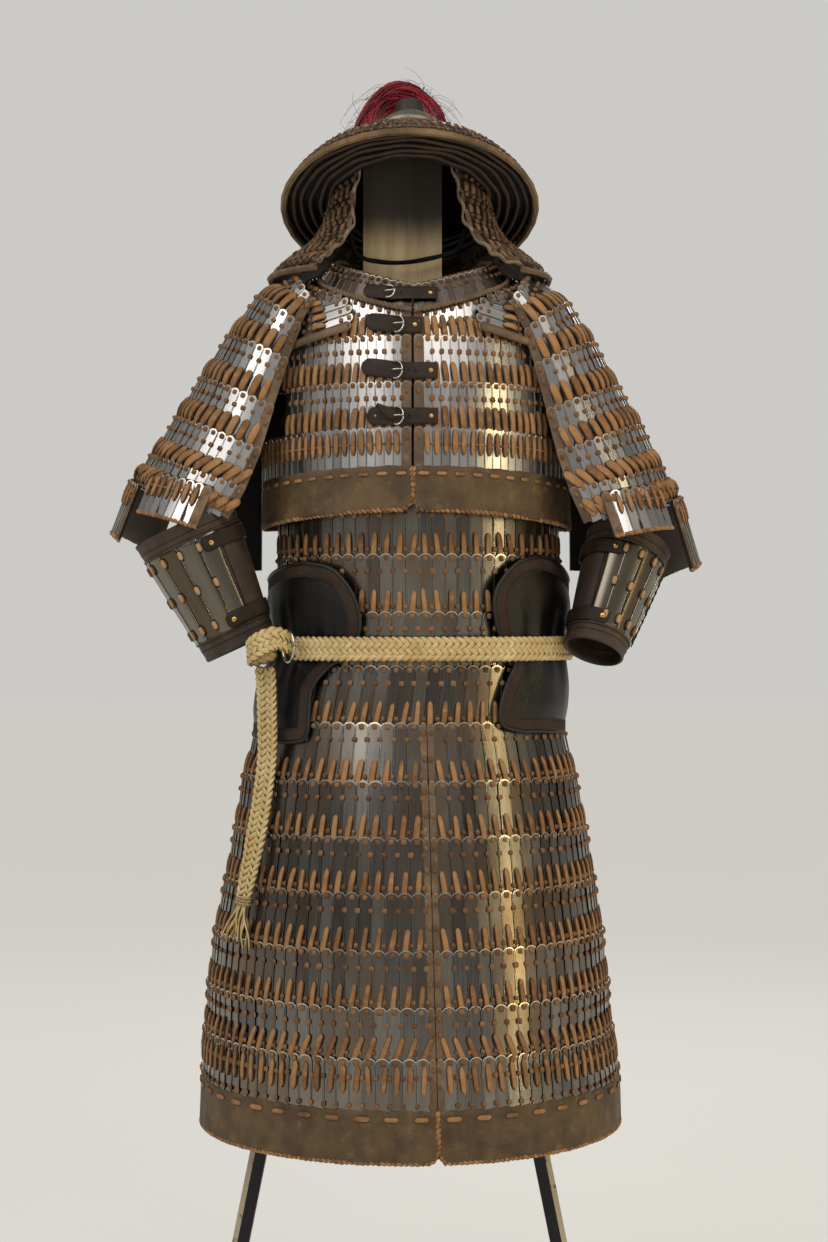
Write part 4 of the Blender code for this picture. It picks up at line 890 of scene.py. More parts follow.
# ------------------------ belt
# A flat plait of straw rope, seven strands wide, drawn through a steel ring at the left hip and
# wrapped round itself. Its free end hangs to the thigh and is tied off above a loose tassel.
BELT_GAP, BELT_WIDTH, BELT_THICK = 0.0038, 0.034, 0.0080
BELT_DIP, BELT_DIP_ANGLE = 0.013, np.radians(26)
BELT_TURNS = (np.radians(-53.0), np.radians(292.0))
STRANDS, WEAVES, PLAIT_TURN, STRAND_THICK = 7, 2, 0.070, 0.0045
TAIL_ROUTE = (
    (-0.1965, -0.1380, 1.0300), (-0.1950, -0.1340, 1.0050), (-0.1945, -0.1240, 0.9600),
    (-0.1945, -0.1200, 0.9100), (-0.1980, -0.1250, 0.8700), (-0.2030, -0.1330, 0.8300),
    (-0.2080, -0.1400, 0.8000), (-0.2130, -0.1450, 0.7700), (-0.2210, -0.1490, 0.7300),
    (-0.2270, -0.1500, 0.7000),
)
TAIL_WIDTH, TAIL_THICK = 0.034, 0.009
WRAP_ROUTE = (
    (-0.1560, -0.1330, 1.0580), (-0.1650, -0.1490, 1.0660), (-0.1800, -0.1630, 1.0720),
    (-0.1980, -0.1680, 1.0660), (-0.2130, -0.1600, 1.0560), (-0.2190, -0.1440, 1.0500),
    (-0.2130, -0.1290, 1.0480), (-0.1990, -0.1230, 1.0520), (-0.1860, -0.1260, 1.0580),
)
WRAP_MIDDLE, WRAP_WIDTH, WRAP_THICK = np.array((-0.196, -0.143, 1.060)), 0.033, 0.0085
RING_CENTRE, RING_RADIUS, RING_WIRE = np.array((-0.1640, -0.1360, 1.0605)), 0.0225, 0.0020
RING_TURN = np.radians(24)
TASSEL_LENGTH, TASSEL_STRANDS = 0.062, 11
TIE_WIDTH, TIE_DEPTH, TIE_CORD, TASSEL_CORD = 0.0115, 0.0062, 0.0036, 0.0046


def curve(route, count):
    """Evenly read cubic through a route's points."""
    rows = np.column_stack((np.arange(len(route)), np.array(route)))
    key = np.linspace(0, len(route) - 1, count)
    return np.stack([smooth(rows, axis, key) for axis in (1, 2, 3)], -1)


def plait(stock, line, face, width, thick, strand_wide=0.0086):
    """Flat plait along a line. Each strand's place across goes up and down evenly once a turn;
    its height is sin(2 pi weaves share) on the way over and the opposite on the way back."""
    run = lengths_along(line)
    count = int(run[-1] / 0.0027)
    at = np.linspace(0, run[-1], count)
    line = read_along(line, at, run)
    face = unit(read_along(face, at, run))
    width = np.interp(at, run, width) if np.ndim(width) else np.full(count, width)
    across = unit(np.cross(unit(np.gradient(line, axis=0)), face))
    wide = strand_wide * width / width.max()
    for strand in range(STRANDS):
        phase = (at / PLAIT_TURN + strand / STRANDS) % 1.0
        share = 1 - np.abs(2 * phase - 1)
        eased = share - 0.045 * np.sin(2 * np.pi * share)
        height = np.where(phase < 0.5, 1.0, -1.0) * np.sin(2 * np.pi * WEAVES * share)
        place = (line + across * ((eased - 0.5) * (width - 0.62 * wide))[:, None]
                 + face * (height * (thick - STRAND_THICK) / 2)[:, None])
        sweep(stock, place, face, wide, STRAND_THICK, 8,
              marks=joined(at[:, None] * 100 + 3.7 * strand, np.arange(8) / 8))


rope = Finish("straw_rope", Specular_IOR_Level=0.3)
rope_mark = rope.node("UVMap", {"uv_map": "plate"})
rope_place = rope.node("VectorMath", {"operation": "MULTIPLY"}, {0: rope_mark, 1: (0.7, 26.0, 1.0)})
fibre = rope.noise(1.0, 3.0, 0.6, vector=rope_place)
faded = rope.noise(18.0, 4.0, 0.6)
rope_colour = rope.mix(rope.step(fibre * 0.7 + faded * 0.4, 0.34, 0.78), (176, 144, 88), (234, 214, 160))
strand_turn = rope.axis(rope_mark, "Y")
# painted shade in the crevices: each strand darkens towards its sides, where it meets its neighbours
off_face = rope.maths("ABSOLUTE", rope.maths("ABSOLUTE", strand_turn - 0.5) - 0.25)
rope_colour = rope.mix(rope.step(off_face, 0.10, 0.19) * 0.84, rope_colour, (70, 46, 20))
straw_rope = rope.finish(Base_Color=rope_colour, Roughness=0.5 + 0.2 * fibre, height=fibre, depth=0.0007)

turns = np.linspace(*BELT_TURNS, 500)
facing_turn = (turns + np.pi) % (2 * np.pi) - np.pi
dip = BELT_DIP * np.cos(np.clip(np.abs(facing_turn) / BELT_DIP_ANGLE, 0, 1) * np.pi / 2)
belt_line = form_point(WAIST_GUARD_FORM, turns, np.full(500, BELT_HEIGHT))
belt_face = unit(np.cross(unit(np.gradient(belt_line, axis=0)), (0.0, 0.0, 1.0)))
belt_line = belt_line + belt_face * (BELT_GAP + BELT_THICK / 2 - dip)[:, None]
belt = Stock()
plait(belt, belt_line, belt_face, BELT_WIDTH, BELT_THICK)
belt.build("belt_plait", straw_rope, "rope", ("belt",))

wrap = Stock()
wrap_line = curve(WRAP_ROUTE, 80)
wrap_out = unit((wrap_line - WRAP_MIDDLE) * np.array((1.0, 1.0, 0.15)))
plait(wrap, wrap_line, wrap_out, WRAP_WIDTH, WRAP_THICK)
wrap.build("belt_wrap", straw_rope, "rope", ("belt_knot",))

steel_wire = steel_finish("steel_wire", (188, 186, 180), (226, 224, 218), (130, 120, 104), 0.2, 0.22)
ring = Stock()
ring_turn = circle(48)
ring_line = RING_CENTRE + joined(-RING_RADIUS * np.cos(ring_turn) * np.sin(RING_TURN),
                                 RING_RADIUS * np.cos(ring_turn) * np.cos(RING_TURN),
                                 RING_RADIUS * np.sin(ring_turn))
ring_face = (np.cos(RING_TURN), np.sin(RING_TURN), 0.0)
sweep(ring, ring_line, ring_face, 2 * RING_WIRE, 2 * RING_WIRE, 10, closed=True)
ring.build("belt_ring_wire", steel_wire, "buckle_steel", ("belt_ring",))

tail = Stock()
tail_line = curve(TAIL_ROUTE, 160)
tail_face = unit(tail_line * np.array((0.40, 1.0, 0.0)))
tail_width = TAIL_WIDTH * (1 - 0.32 * np.clip((shares(160) - 0.72) / 0.28, 0, None))
plait(tail, tail_line, tail_face, tail_width, TAIL_THICK, 0.0080)
tail_piece = tail.build("belt_free_end", straw_rope, "rope", ("belt_tail",))
tassel = Stock()
tassel_top, tassel_face = tail_line[-1], tail_face[-1]
tassel_side = unit(np.cross(tassel_top - tail_line[-4], tassel_face))
tie_turn = circle(24)[:, None]
for coil in range(3):
    centre = tail_line[-6] + (tassel_top - tail_line[-6]) * coil / 2
    tie = centre + (tassel_side * np.cos(tie_turn) * TIE_WIDTH + tassel_face * np.sin(tie_turn) * TIE_DEPTH)
    sweep(tassel, tie, (0.0, 0.0, 1.0), TIE_CORD, TIE_CORD, 6, closed=True)
share = shares(14)
for strand in range(TASSEL_STRANDS):
    spread = (strand - 5) / 5 + draw.normal(0, 0.06)
    long = TASSEL_LENGTH * (1 - 0.22 * draw.random())
    fall = joined(-0.010 * share, -0.004 * share, -long * share)
    sway = (0.0065 + 0.0175 * share**1.3) * spread + 0.0022 * np.sin(share * 7 + strand)
    lift = 0.0030 * np.sin(share * 5 + 2.1 * strand) * share + 0.0015 * (-1) ** strand
    line = tassel_top + fall + tassel_side * sway[:, None] + tassel_face * lift[:, None]
    thick = TASSEL_CORD * (1 - 0.55 * share**3)
    sweep(tassel, line, tassel_face, thick, thick, 6)
tassel_piece = tassel.build("belt_tassel_strands", straw_rope, "rope", ("belt_tassel",))


# ------------------------ vest
# A short vest of small polished plates: two fronts, a back and a yoke over each shoulder. Leather
# strips with round tops face the opening, and a nubuck band like the coat's closes the foot.
VEST_FORM = (
    (1.220, 0.2260, 0.193, 0.0165), (1.310, 0.2230, 0.190, 0.0165), (1.360, 0.2210, 0.186, 0.0165),
    (1.420, 0.2180, 0.178, 0.016), (1.480, 0.2140, 0.166, 0.015), (1.528, 0.2070, 0.152, 0.014),
    (1.550, 0.1980, 0.142, 0.013), (1.570, 0.1800, 0.128, 0.0125), (1.585, 0.1490, 0.111, 0.0125),
    (1.598, 0.1080, 0.094, 0.0125),
)
VEST_SLIT_X, VEST_SLIT_GAP, VEST_SIDE_GAP = 0.0116, 0.0045, 0.004
VEST_HEM, VEST_HEM_DROP, VEST_BAND = 1.250, 0.018, 0.060
NECK_FRONT, NECK_SIDE = 1.528, 1.596
YOKE_LIFT = 0.0060
ARMHOLE_MIDDLE, ARMHOLE_HALF, ARMHOLE_TURN = 1.42, 0.078, np.radians(34)  # height, half height and depth
VEST_HALF_WIDTH, VEST_CHEST = 0.22, 1.43   # below this height the rows drop at the sides
VEST_TOPS = (1.495, 1.429, 1.365, 1.310)


def neck_height(angle):
    """Neck line: level behind, and dipping in front as |sin angle|^1.3."""
    front = NECK_FRONT + (NECK_SIDE - NECK_FRONT) * np.abs(np.sin(angle)) ** 1.3
    return np.where(np.cos(angle) < 0, NECK_SIDE, front)


def vest_angle(side, u, height):
    """Angle across a vest panel, drawn back at the armhole by the height of a half ellipse."""
    off = (height - ARMHOLE_MIDDLE) / ARMHOLE_HALF
    hole = ARMHOLE_TURN * np.sqrt(np.clip(1 - off * off, 0, None))
    gap = VEST_SIDE_GAP / 2 / VEST_HALF_WIDTH
    if side == 0:
        start, end = np.pi / 2 + gap + hole, 3 * np.pi / 2 - gap - hole
    elif side > 0:
        start, end = angle_at(VEST_FORM, VEST_SLIT_X + VEST_SLIT_GAP / 2, height), np.pi / 2 - gap - hole
    else:
        start, end = -np.pi / 2 + gap + hole, angle_at(VEST_FORM, VEST_SLIT_X - VEST_SLIT_GAP / 2, height)
    return start + (end - start) * u


def vest_surface(side, level=None):
    """Vest front or back by u and height, between the side edges of one level if it is given;
    below the chest the rows drop a little at the sides."""
    def surface(u, height, out):
        angle = vest_angle(side, u, height if level is None else level)
        low = np.clip((VEST_CHEST - height) / (VEST_CHEST - VEST_HEM), 0, 1)
        return lifted(VEST_FORM, angle, height - VEST_HEM_DROP * low * np.sin(angle) ** 2, out)
    return surface


def vest_top(side):
    """Topmost row of the vest, by its share from the row below up to the neck line."""
    def surface(u, share, out):
        angle = vest_angle(side, u, VEST_TOPS[0])
        top = neck_height(angle) - 0.001
        return lifted(VEST_FORM, angle, VEST_TOPS[0] + (top - VEST_TOPS[0]) * share, out)
    return surface


THONG_VEST = thong_form(0.16, 0.04, 0.12, 7)
SHORT_THONG = thong_form(0.26, 0.0, 0.26, 7)
VEST_STRIP = 0.0125
VEST_STYLE = dict(pitch=0.0125, high=0.0042, low=0.0008, under=0.007, lapped=1.14, gauge=0.0006,
                  arch=0.0068, edge_arch=1.2, tilt=0.090, jitter=0.011, knot_rise=0.0026, thong_rise=0.0021,
                  knots=(("top", 0.0056, 0.0, 0.0074, 0.0090), ("top", 0.0245, 0.5, 0.0074, 0.0090)),
                  edge_knots=(("top", 0.0150, 0.0, 0.0052, 0.0082),))
LAST_ROW = dict(knots=(("top", 0.0240, 0.5, 0.0074, 0.0036),),
                edge_knots=(("top", 0.0140, 0.0, 0.0044, 0.0074),),
                thongs=(("top", 0.0390, 0.0340, 0.0, 0.0078, 0.0, 0.0008, SHORT_THONG),))
vest = Lacing("vest", **VEST_STYLE)
for side in (-1, 1, 0):
    laid = {"edges": opening_strip(side, VEST_STRIP), "lap": -side or 1}
    thongs = (("low", -0.004, 0.034, 0.0, 0.0088, -0.09 * side, 0.0020, THONG_VEST),)
    vest.row(vest_top(side), 1.0, 0.0, **laid, thongs=thongs)
    for top, foot in zip(VEST_TOPS[:-2], VEST_TOPS[1:-1]):
        vest.row(vest_surface(side, (top + foot) / 2), top, foot, **laid, thongs=thongs)
    vest.row(vest_surface(side, VEST_TOPS[-1]), *VEST_TOPS[-2:], **laid, **LAST_ROW)


YOKE_LINES = (  # share over the shoulder, then angle and height of the inner, middle and outer line
    (0.00, 24.2, 1.503, 41.0, 1.489, 58.0, 1.478), (0.14, 24.2, 1.532, 41.5, 1.520, 58.0, 1.508),
    (0.26, 31.0, 1.552, 46.0, 1.542, 60.0, 1.530), (0.38, 55.0, 1.574, 64.0, 1.558, 72.0, 1.544),
    (0.50, 90.0, 1.592, 90.0, 1.576, 90.0, 1.556), (0.62, 125.0, 1.574, 116.0, 1.558, 108.0, 1.544),
    (0.74, 149.0, 1.552, 134.0, 1.542, 120.0, 1.530), (1.00, 155.8, 1.503, 139.0, 1.489, 122.0, 1.478),
)


def yoke_surface(side):
    """Yoke over a shoulder: u along it between chest and back, v from its outer line to the neck,
    so that its plates point to the neck."""
    def surface(u, v, out):
        way = u if side > 0 else 1 - u
        inner, inner_z, mid, mid_z, outer, outer_z = (smooth(YOKE_LINES, column, way)
                                                      for column in range(1, 7))
        near, far = np.clip(2 * v - 1, 0, 1), np.clip(1 - 2 * v, 0, 1)
        angle = mid + (inner - mid) * near + (outer - mid) * far
        height = mid_z + (inner_z - mid_z) * near + (outer_z - mid_z) * far
        return lifted(VEST_FORM, side * np.radians(angle), height, YOKE_LIFT + out)
    return surface


YOKE_ROLL = (0.014, 0.04, 0.97)    # where the rolled end runs: its share along the yoke, from and to
ROLL_LIFT, ROLL_SIZE = 0.0062, (0.0115, 0.0080)
yoke_thongs = (("low", -0.003, 0.022, 0.0, 0.0090, 0.0, 0.0028, THONG_VEST),)
for side in (-1, 1):
    for top, foot, thongs in ((1.0, 0.5, yoke_thongs), (0.5, 0.02, ())):
        vest.row(yoke_surface(side), top, foot, lap=-side, edges=opening_strip(side, VEST_STRIP), under=0.004,
                 pitch=0.0135, thongs=thongs,
                 knots=(("top", 0.0062, 0.0, 0.0078, 0.0066), ("top", 0.0190, 0.0, 0.0078, 0.0066)))
    roll = np.linspace(*YOKE_ROLL[1:], 30)
    end = np.full(30, YOKE_ROLL[0] if side > 0 else 1 - YOKE_ROLL[0])
    sweep(vest.edging, yoke_surface(side)(end, roll, ROLL_LIFT), outward_at(yoke_surface(side), end, roll),
          *ROLL_SIZE, 10, marks=np.full((30, 10, 2), 0.5))
vest.build(bright_steel, lace_leather, "bright_plates")
wear(plate_backs, "bright_plates", "vest_front_left", "vest_front_right", "vest_back", "vest_yoke_left",
     "vest_yoke_right")

VEST_LENGTHS, VEST_ROUND = (0.60, 0.30, 0.30), 0.016
VEST_WHIPPING = (0.0072, (0.0052, 0.0104, 0.0054), 0.55)
vest_hem, vest_lace = Stock(), Stock()
for side in (-1, 1, 0):
    hem_band(vest_hem, vest_lace, vest_surface(side), VEST_LENGTHS[side], VEST_HEM, VEST_HEM + VEST_BAND,
             VEST_ROUND, (True, True), HEM_LIFT + 0.0004,
             lambda run: (0.0006 * np.sin(run * 190),
                          0.0012 * np.sin(run * 46 + 0.7 * side) + 0.0005 * np.sin(run * 130)),
             (111, 13, 22), VEST_WHIPPING, (0.0095, HEM_LIFT + 0.0006, 0.0262, (0.0056, 0.0150, 0.0017)))
vest_band = vest_hem.build("vest_hem_band", hem_leather, "hem_leather",
                           ("vest_hem_left", "vest_hem_right", "vest_hem_back"))
vest_whip = vest_lace.build("vest_hem_lace", lace_leather, "strap_leather")


# ------------------------ collar
# A low standing collar of one row of plates, open in front, with braided leather along its foot
# and its top.
COLLAR_HEIGHT, COLLAR_DROP, COLLAR_LEAN, COLLAR_GAP = 0.040, 0.020, 0.86, np.radians(0.7)
NECK_X = 0.0125
BRAID_SLANT = 0.72


def collar_surface(u, v, out):
    """Collar from the neck line up, drawn in towards the neck by the lean."""
    middle = angle_at(VEST_FORM, VEST_SLIT_X, NECK_FRONT)
    angle = middle + COLLAR_GAP + (2 * np.pi - 2 * COLLAR_GAP) * u
    base = lifted(VEST_FORM, angle, neck_height(angle), YOKE_LIFT)
    lean = 1 + (COLLAR_LEAN - 1) * v
    drop = COLLAR_DROP * np.where(np.cos(angle) > 0, np.sin(angle) ** 2, 1.0)
    away = joined(np.sin(angle), -np.cos(angle), 0.2)
    point = joined(NECK_X + (base[..., 0] - NECK_X) * lean, base[..., 1] * lean,
                      base[..., 2] + 0.001 + (COLLAR_HEIGHT - drop) * v)
    return point + unit(away) * np.asarray(out)[..., None]


collar = Lacing("collar", **{**VEST_STYLE, "arch": 0.0040, "under": 0.001})
collar.row(collar_surface, 1.0, 0.06, high=0.0016, low=0.0010, pitch=0.0115, thongs=(),
           knots=(("top", 0.0056, 0.0, 0.0066, 0.0068), ("top", 0.0160, 0.5, 0.0066, 0.0068)))
collar.build(dark_steel, old_lace, "bright_plates")
wear(plate_backs, "plates", "collar")
braid = Stock()
collar_u = shares(240)
BRAIDS = (  # height and lift of the braid at the foot and at the top, then its pitch and bead
    (0.0, 0.0040, (0.0066, (0.0052, 0.0120, 0.0060))), (1.0, -0.0012, (0.0066, (0.0042, 0.0100, 0.0050))),
)
for height, out, bead in BRAIDS:
    level = np.full_like(collar_u, height)
    line, outward = collar_surface(collar_u, level, out), outward_at(collar_surface, collar_u, level)
    whip(braid, line, outward, *bead, BRAID_SLANT)
    whip(braid, line - outward * 0.0012, outward, *bead, -BRAID_SLANT)
braid.build("collar_braid", edge_leather, "hem_leather")


# ------------------------ buckle straps
# Four dark leather straps close the vest and collar. Each is riveted at its right end with a brass
# stud and runs left through a steel buckle, its wide round tip lying back on the chest.
STRAPS = (  # height, left x, right x, width, buckle x
    (1.5570, -0.0553, 0.0427, 0.017, -0.0200), (1.5080, -0.0510, 0.0210, 0.021, -0.0075),
    (1.4430, -0.0553, 0.0427, 0.021, -0.0090), (1.3790, -0.0480, 0.0430, 0.021, -0.0075),
)
STRAP_LIFT, COLLAR_REACH, STRAP_THICK = 0.0045, 0.17, 0.0026
LOOP = (0.0092, 0.60, 0.0064, 0.0026)  # buckle's reach, half height over the width, lift and arch
PRONG = ((-0.0095, 0.0036), (-0.004, 0.0056), (0.002, 0.0064), (0.0082, 0.0078))   # its reach and lift
LOOP_WIRE, PRONG_WIRE = 0.0021, 0.0016
STUD_RADIUS, STUD_RISE = 0.0036, 0.0026
HOLES, HOLE_RADIUS = (0.015, 0.024), 0.0014    # along the strap from its buckle
brass = Finish("brass", Metallic=1.0)
tarnish = brass.noise(160.0, 3.0, 0.6)
brass_colour = brass.mix(brass.step(tarnish, 0.4, 0.75), (214, 178, 108), (140, 104, 56))
brass_studs = brass.finish(Base_Color=brass_colour, Roughness=0.22 + 0.2 * tarnish, height=tarnish,
                           depth=0.0002)


def strap_surface(height):
    """Strap across the opening by x and height, lying over the plates or round the collar."""
    def surface(x, z, out):
        if height > NECK_FRONT + 0.01:
            base = collar_surface(0.0 * x, (z - NECK_FRONT) / COLLAR_HEIGHT, 0.0)
            along = np.sqrt(1 - ((x - NECK_X) / COLLAR_REACH) ** 2)
            return joined(x, base[..., 1] * along - STRAP_LIFT - 2 * LEATHER - out, z)
        return lifted(VEST_FORM, angle_at(VEST_FORM, x, z), z, STRAP_LIFT + LEATHER + out)
    return surface


def dome(stock, centre, across, up, outward, radius, rise):
    """Stud: a low dome over a circle, point = centre + r*sin(a)*(across, up) + rise*cos(a)."""
    away = np.linspace(0.04, np.pi / 2, 6)[:, None]
    turn = circle(16)
    ring = (across * (np.cos(turn) * np.sin(away) * radius)[..., None]
            + up * (np.sin(turn) * np.sin(away) * radius)[..., None]
            + outward * (np.cos(away) * rise + 0 * turn)[..., None])
    points = (centre + ring).reshape(-1, 3)
    faces = quads(6, 16, True)[:, ::-1]
    skirt = quads(2, 16, True)[:, ::-1] + 80
    stock.add(np.vstack((points, points[-16:] - outward * 0.0012)), np.concatenate((faces, skirt)), None,
              (list(range(16)), list(range(96, 112))[::-1]))


def seat_at(surface, u, v):
    """Point and axes of a surface at one place."""
    return (item[0] for item in axes_at(surface, np.array([u]), np.array([v])))


straps, wires, studs = Stock(), Stock(), Stock()
for number, (height, left, right, width, buckle) in enumerate(STRAPS):
    surface = strap_surface(height)
    lowest = number == len(STRAPS) - 1
    x = left - 0.002 + (right - left + 0.004) * shares(41)
    tip = np.clip((x - left + 0.002) / 0.011, 0, 1)
    wider = 1 + 0.10 * (1 - np.clip((x - buckle) / 0.01, 0, 1))
    wide = width * wider * np.sqrt(np.clip(1 - (1 - tip) ** 2, 0.04, 1))
    droop = 0 * x if lowest else 0.0052 * np.clip((buckle - x) / 0.04, 0, 1)
    z = height + droop + wide * np.linspace(-0.5, 0.5, 7)[:, None]
    lie = 0.0018 * np.clip((buckle - x) / 0.008, 0, 1) + 0.0006 * np.sin(x * 190 + number)
    sheet_on(straps, surface, np.broadcast_to(x, z.shape), z, np.broadcast_to(lie, z.shape), STRAP_THICK)
    if lowest:
        curl = shares(12)
        line = surface(buckle - 0.004 - 0.019 * curl - 0.004 * curl**2, height + 0.001 + 0.012 * curl**1.6,
                       0.004 + 0.010 * curl**1.5)
        sweep(straps, line, (0.25, -1.0, 0.0), 0.016 * (1 - 0.65 * curl**2), STRAP_THICK, 8)
    seat, ahead, up, outward = seat_at(surface, buckle, height)
    bow = np.linspace(-0.62 * np.pi, 0.62 * np.pi, 26)[:, None]
    reach, half, lift, arch = LOOP
    loop = (seat + ahead * (np.cos(bow) * reach - 0.002) + up * (np.sin(bow) * width * half)
            + outward * (lift - arch * np.abs(np.sin(bow))))
    sweep(wires, loop, outward, LOOP_WIRE, LOOP_WIRE, 8)
    prong = np.stack([seat + ahead * reach + outward * lift for reach, lift in PRONG])
    sweep(wires, prong, up, PRONG_WIRE, PRONG_WIRE, 6)
    for x_stud in (right - 0.0065, left + 0.0095) if lowest else (right - 0.0065,):
        dome(studs, *seat_at(surface, x_stud, height), STUD_RADIUS, STUD_RISE)
    for x_hole in (buckle + along for along in HOLES):
        if x_hole < right - 0.012:
            spot, ahead, up, outward = seat_at(surface, x_hole, height)
            turn = circle(12)[:, None]
            eye = spot + (ahead * np.cos(turn) + up * np.sin(turn)) * HOLE_RADIUS + outward * 0.0004
            sweep(straps, eye, outward, 0.0008, 0.0008, 6, closed=True)
straps.build("buckle_straps", strap_leather, "strap_leather", ("strap_1", "strap_2", "strap_3", "strap_4"))
wires.build("buckles", steel_wire, "buckle_steel", ("buckle_1", "buckle_2", "buckle_3", "buckle_4"))
studs.build("strap_studs", brass_studs, "buckle_steel")


# ------------------------ shoulder guards
# A laced guard curves over each shoulder and upper arm, edged with strips of pale leather. Three
# flaps of plates hang from its last row on loose curled thongs, whipped along the foot.
SPREAD, EDGE_RISE = np.radians(105), 0.06
GUARD_TABLES = {  # row, x and height of the outer line, its lean, inset of the edges, half depth
    -1: ((0, -0.1540, 1.5990, 66, 0.052, 0.1180), (1, -0.1930, 1.5860, 54, 0.074, 0.1200),
         (2, -0.2190, 1.5640, 38, 0.090, 0.1220), (3, -0.2580, 1.5110, 34, 0.105, 0.1260),
         (4, -0.2975, 1.4500, 33, 0.127, 0.1310), (5, -0.3395, 1.3840, 33, 0.148, 0.1370),
         (6, -0.3945, 1.3000, 33, 0.156, 0.1430)),
    1: ((0, 0.1730, 1.5970, 66, 0.052, 0.1200), (1, 0.2130, 1.5820, 54, 0.074, 0.1220),
        (2, 0.2440, 1.5520, 36, 0.090, 0.1240), (3, 0.2770, 1.4990, 31, 0.103, 0.1270),
        (4, 0.3120, 1.4370, 30, 0.123, 0.1310), (5, 0.3500, 1.3700, 29, 0.142, 0.1370),
        (6, 0.3965, 1.2760, 28, 0.148, 0.1430)),
}
BEYOND_STEP = 0.078    # how far a whole row reaches below the table's end
GUARD_ROWS = (1.0, 0.71, 0.513, 0.343, 0.197, 0.08, 0.0)
FLAPS = (  # first and last angle, share down there, push outward, length left and right
    (42, 87, 0.955, 0.910, 0.020, 0.063, 0.066), (-54, 37, 0.992, 1.000, 0.000, 0.086, 0.106),
    (-88, -57, 0.910, 0.935, 0.020, 0.063, 0.066),
)
FLAP_LIFT = 0.0060
FLAP_HANG = {-1: np.radians(21), 1: np.radians(17)}


def guard_point(side, spread, share, out):
    """Shoulder guard by the angle round the arm and the share down its outer line."""
    table = GUARD_TABLES[side]
    key = share * (len(table) - 1)
    line_x, height, lean, inset, depth = (smooth(table, column, key) for column in range(1, 6))
    lean = np.radians(lean)
    nothing = 0 * lean
    outward = joined(side * np.cos(lean), nothing, np.sin(lean))
    down = joined(side * np.sin(lean), nothing, -np.cos(lean))
    reach = inset / (1 - np.cos(SPREAD)) * (1 - np.cos(spread)) - out * np.cos(spread)
    beyond = np.maximum(0.0, key - len(table) + 1) * BEYOND_STEP
    middle = joined(line_x, nothing, height) + down * beyond[..., None]
    forward = joined(nothing, -(depth + out) * np.sin(spread), nothing)
    return middle - outward * reach[..., None] + forward


def guard_surface(side):
    """Guard by u round it and v up it; its foot is a little higher at its edges."""
    def surface(u, v, out):
        spread = -side * SPREAD * (2 * u - 1)
        return guard_point(side, spread, (1 - v) * (1 - EDGE_RISE * (2 * u - 1) ** 2), out)
    return surface


def flap_surface(side, flap):
    """Flap by u across it and v up it, hanging straighter than the guard."""
    first, last, start, end, push, *lengths = flap

    def surface(u, v, out):
        way = u if side < 0 else 1 - u
        spread = np.radians(first + (last - first) * way)
        hang = lengths[side > 0] * (1 - v)
        lean = FLAP_HANG[side]
        top = guard_point(side, spread, start + (end - start) * way, FLAP_LIFT + out)
        return top + joined(side * np.sin(lean) * hang, -np.sin(spread) * push * (1 - v),
                            -np.cos(lean) * hang)
    return surface


THONG_GUARD = thong_form(0.20, -0.06, 0.14, 8)
GUARD_STYLE = {**VEST_STYLE, "pitch": 0.0142, "arch": 0.0075, "lapped": 1.12, "high": 0.0052, "low": 0.0020,
               "knots": (("top", 0.0062, 0.0, 0.0072, 0.0078), ("top", 0.0230, 0.5, 0.0072, 0.0078)),
               "edge_knots": (("top", 0.0120, 0.0, 0.0064, 0.0086), ("top", 0.0300, 0.0, 0.0060, 0.0080))}
FLAP_STYLE = {"under": 0.0, "high": 0.0038, "low": 0.0032,
              "knots": (("top", 0.0056, 0.0, 0.0058, 0.0070), ("top", 0.0215, 0.5, 0.0080, 0.0046)),
              "edge_knots": (("top", 0.0120, 0.0, 0.0064, 0.0086), ("low", 0.0080, 0.0, 0.0064, 0.0080)),
              "thongs": (("top", 0.0370, 0.0300, 0.0, 0.0072, 0.0, 0.0010, SHORT_THONG),)}
GUARD_SLANTS = (0.05, 0.05, 0.06, 0.14, 0.40)  # of the thongs, row by row; curled ones hang from the last
GUARD_STRIP, FLAP_FOOT = 0.0118, 0.02
FLAP_STRIPS = ((0.0, 0.0125), (0.011, 0.011), (0.0125, 0.0))
FLAP_WHIPPING = (0.0068, (0.0056, 0.0100, 0.0060), 0.45)
for side, name in ((-1, "left"), (1, "right")):
    guard_lacing = Lacing("guard_" + name, **GUARD_STYLE)
    curled = (("low", 0.004, 0.027, 0.5, 0.0116, -side * 0.45, 0.0060, THONG_GUARD),
              ("low", 0.000, 0.024, 0.0, 0.0106, -side * 0.30, 0.0040, THONG_GUARD))
    hung = [(("low", -0.003, 0.033, 0.0, 0.0116, 1.4 * -side * slant, 0.0034, THONG_GUARD),)
            for slant in GUARD_SLANTS]
    for top, foot, thongs in zip(GUARD_ROWS, GUARD_ROWS[1:], hung + [curled]):
        guard_lacing.row(guard_surface(side), top, foot, edges=(GUARD_STRIP, GUARD_STRIP), lap=-side,
                         thongs=thongs)
    for flap, strips in zip(FLAPS, FLAP_STRIPS):
        surface = flap_surface(side, flap)
        guard_lacing.row(surface, 1.0, FLAP_FOOT, edges=strips[::-side], lap=-side, **FLAP_STYLE)
        across, level = shares(60), np.full(60, FLAP_FOOT)
        whip(guard_lacing.laces, surface(across, level, 0.0022), outward_at(surface, across, level),
             *FLAP_WHIPPING)
        backing_u, backing_v = np.meshgrid(across[::4], np.linspace(FLAP_FOOT, 0.97, 6))
        sheet_on(guard_lacing.edging, surface, backing_u, backing_v, -0.0006, 0.0016)
    guard_lacing.build(bright_steel, lace_leather, "bright_plates")
    wear(plate_backs, "bright_plates", "shoulder_guard_" + name,
         *("shoulder_guard_%s_flap_%s" % (name, flap) for flap in ("front", "side", "back")))


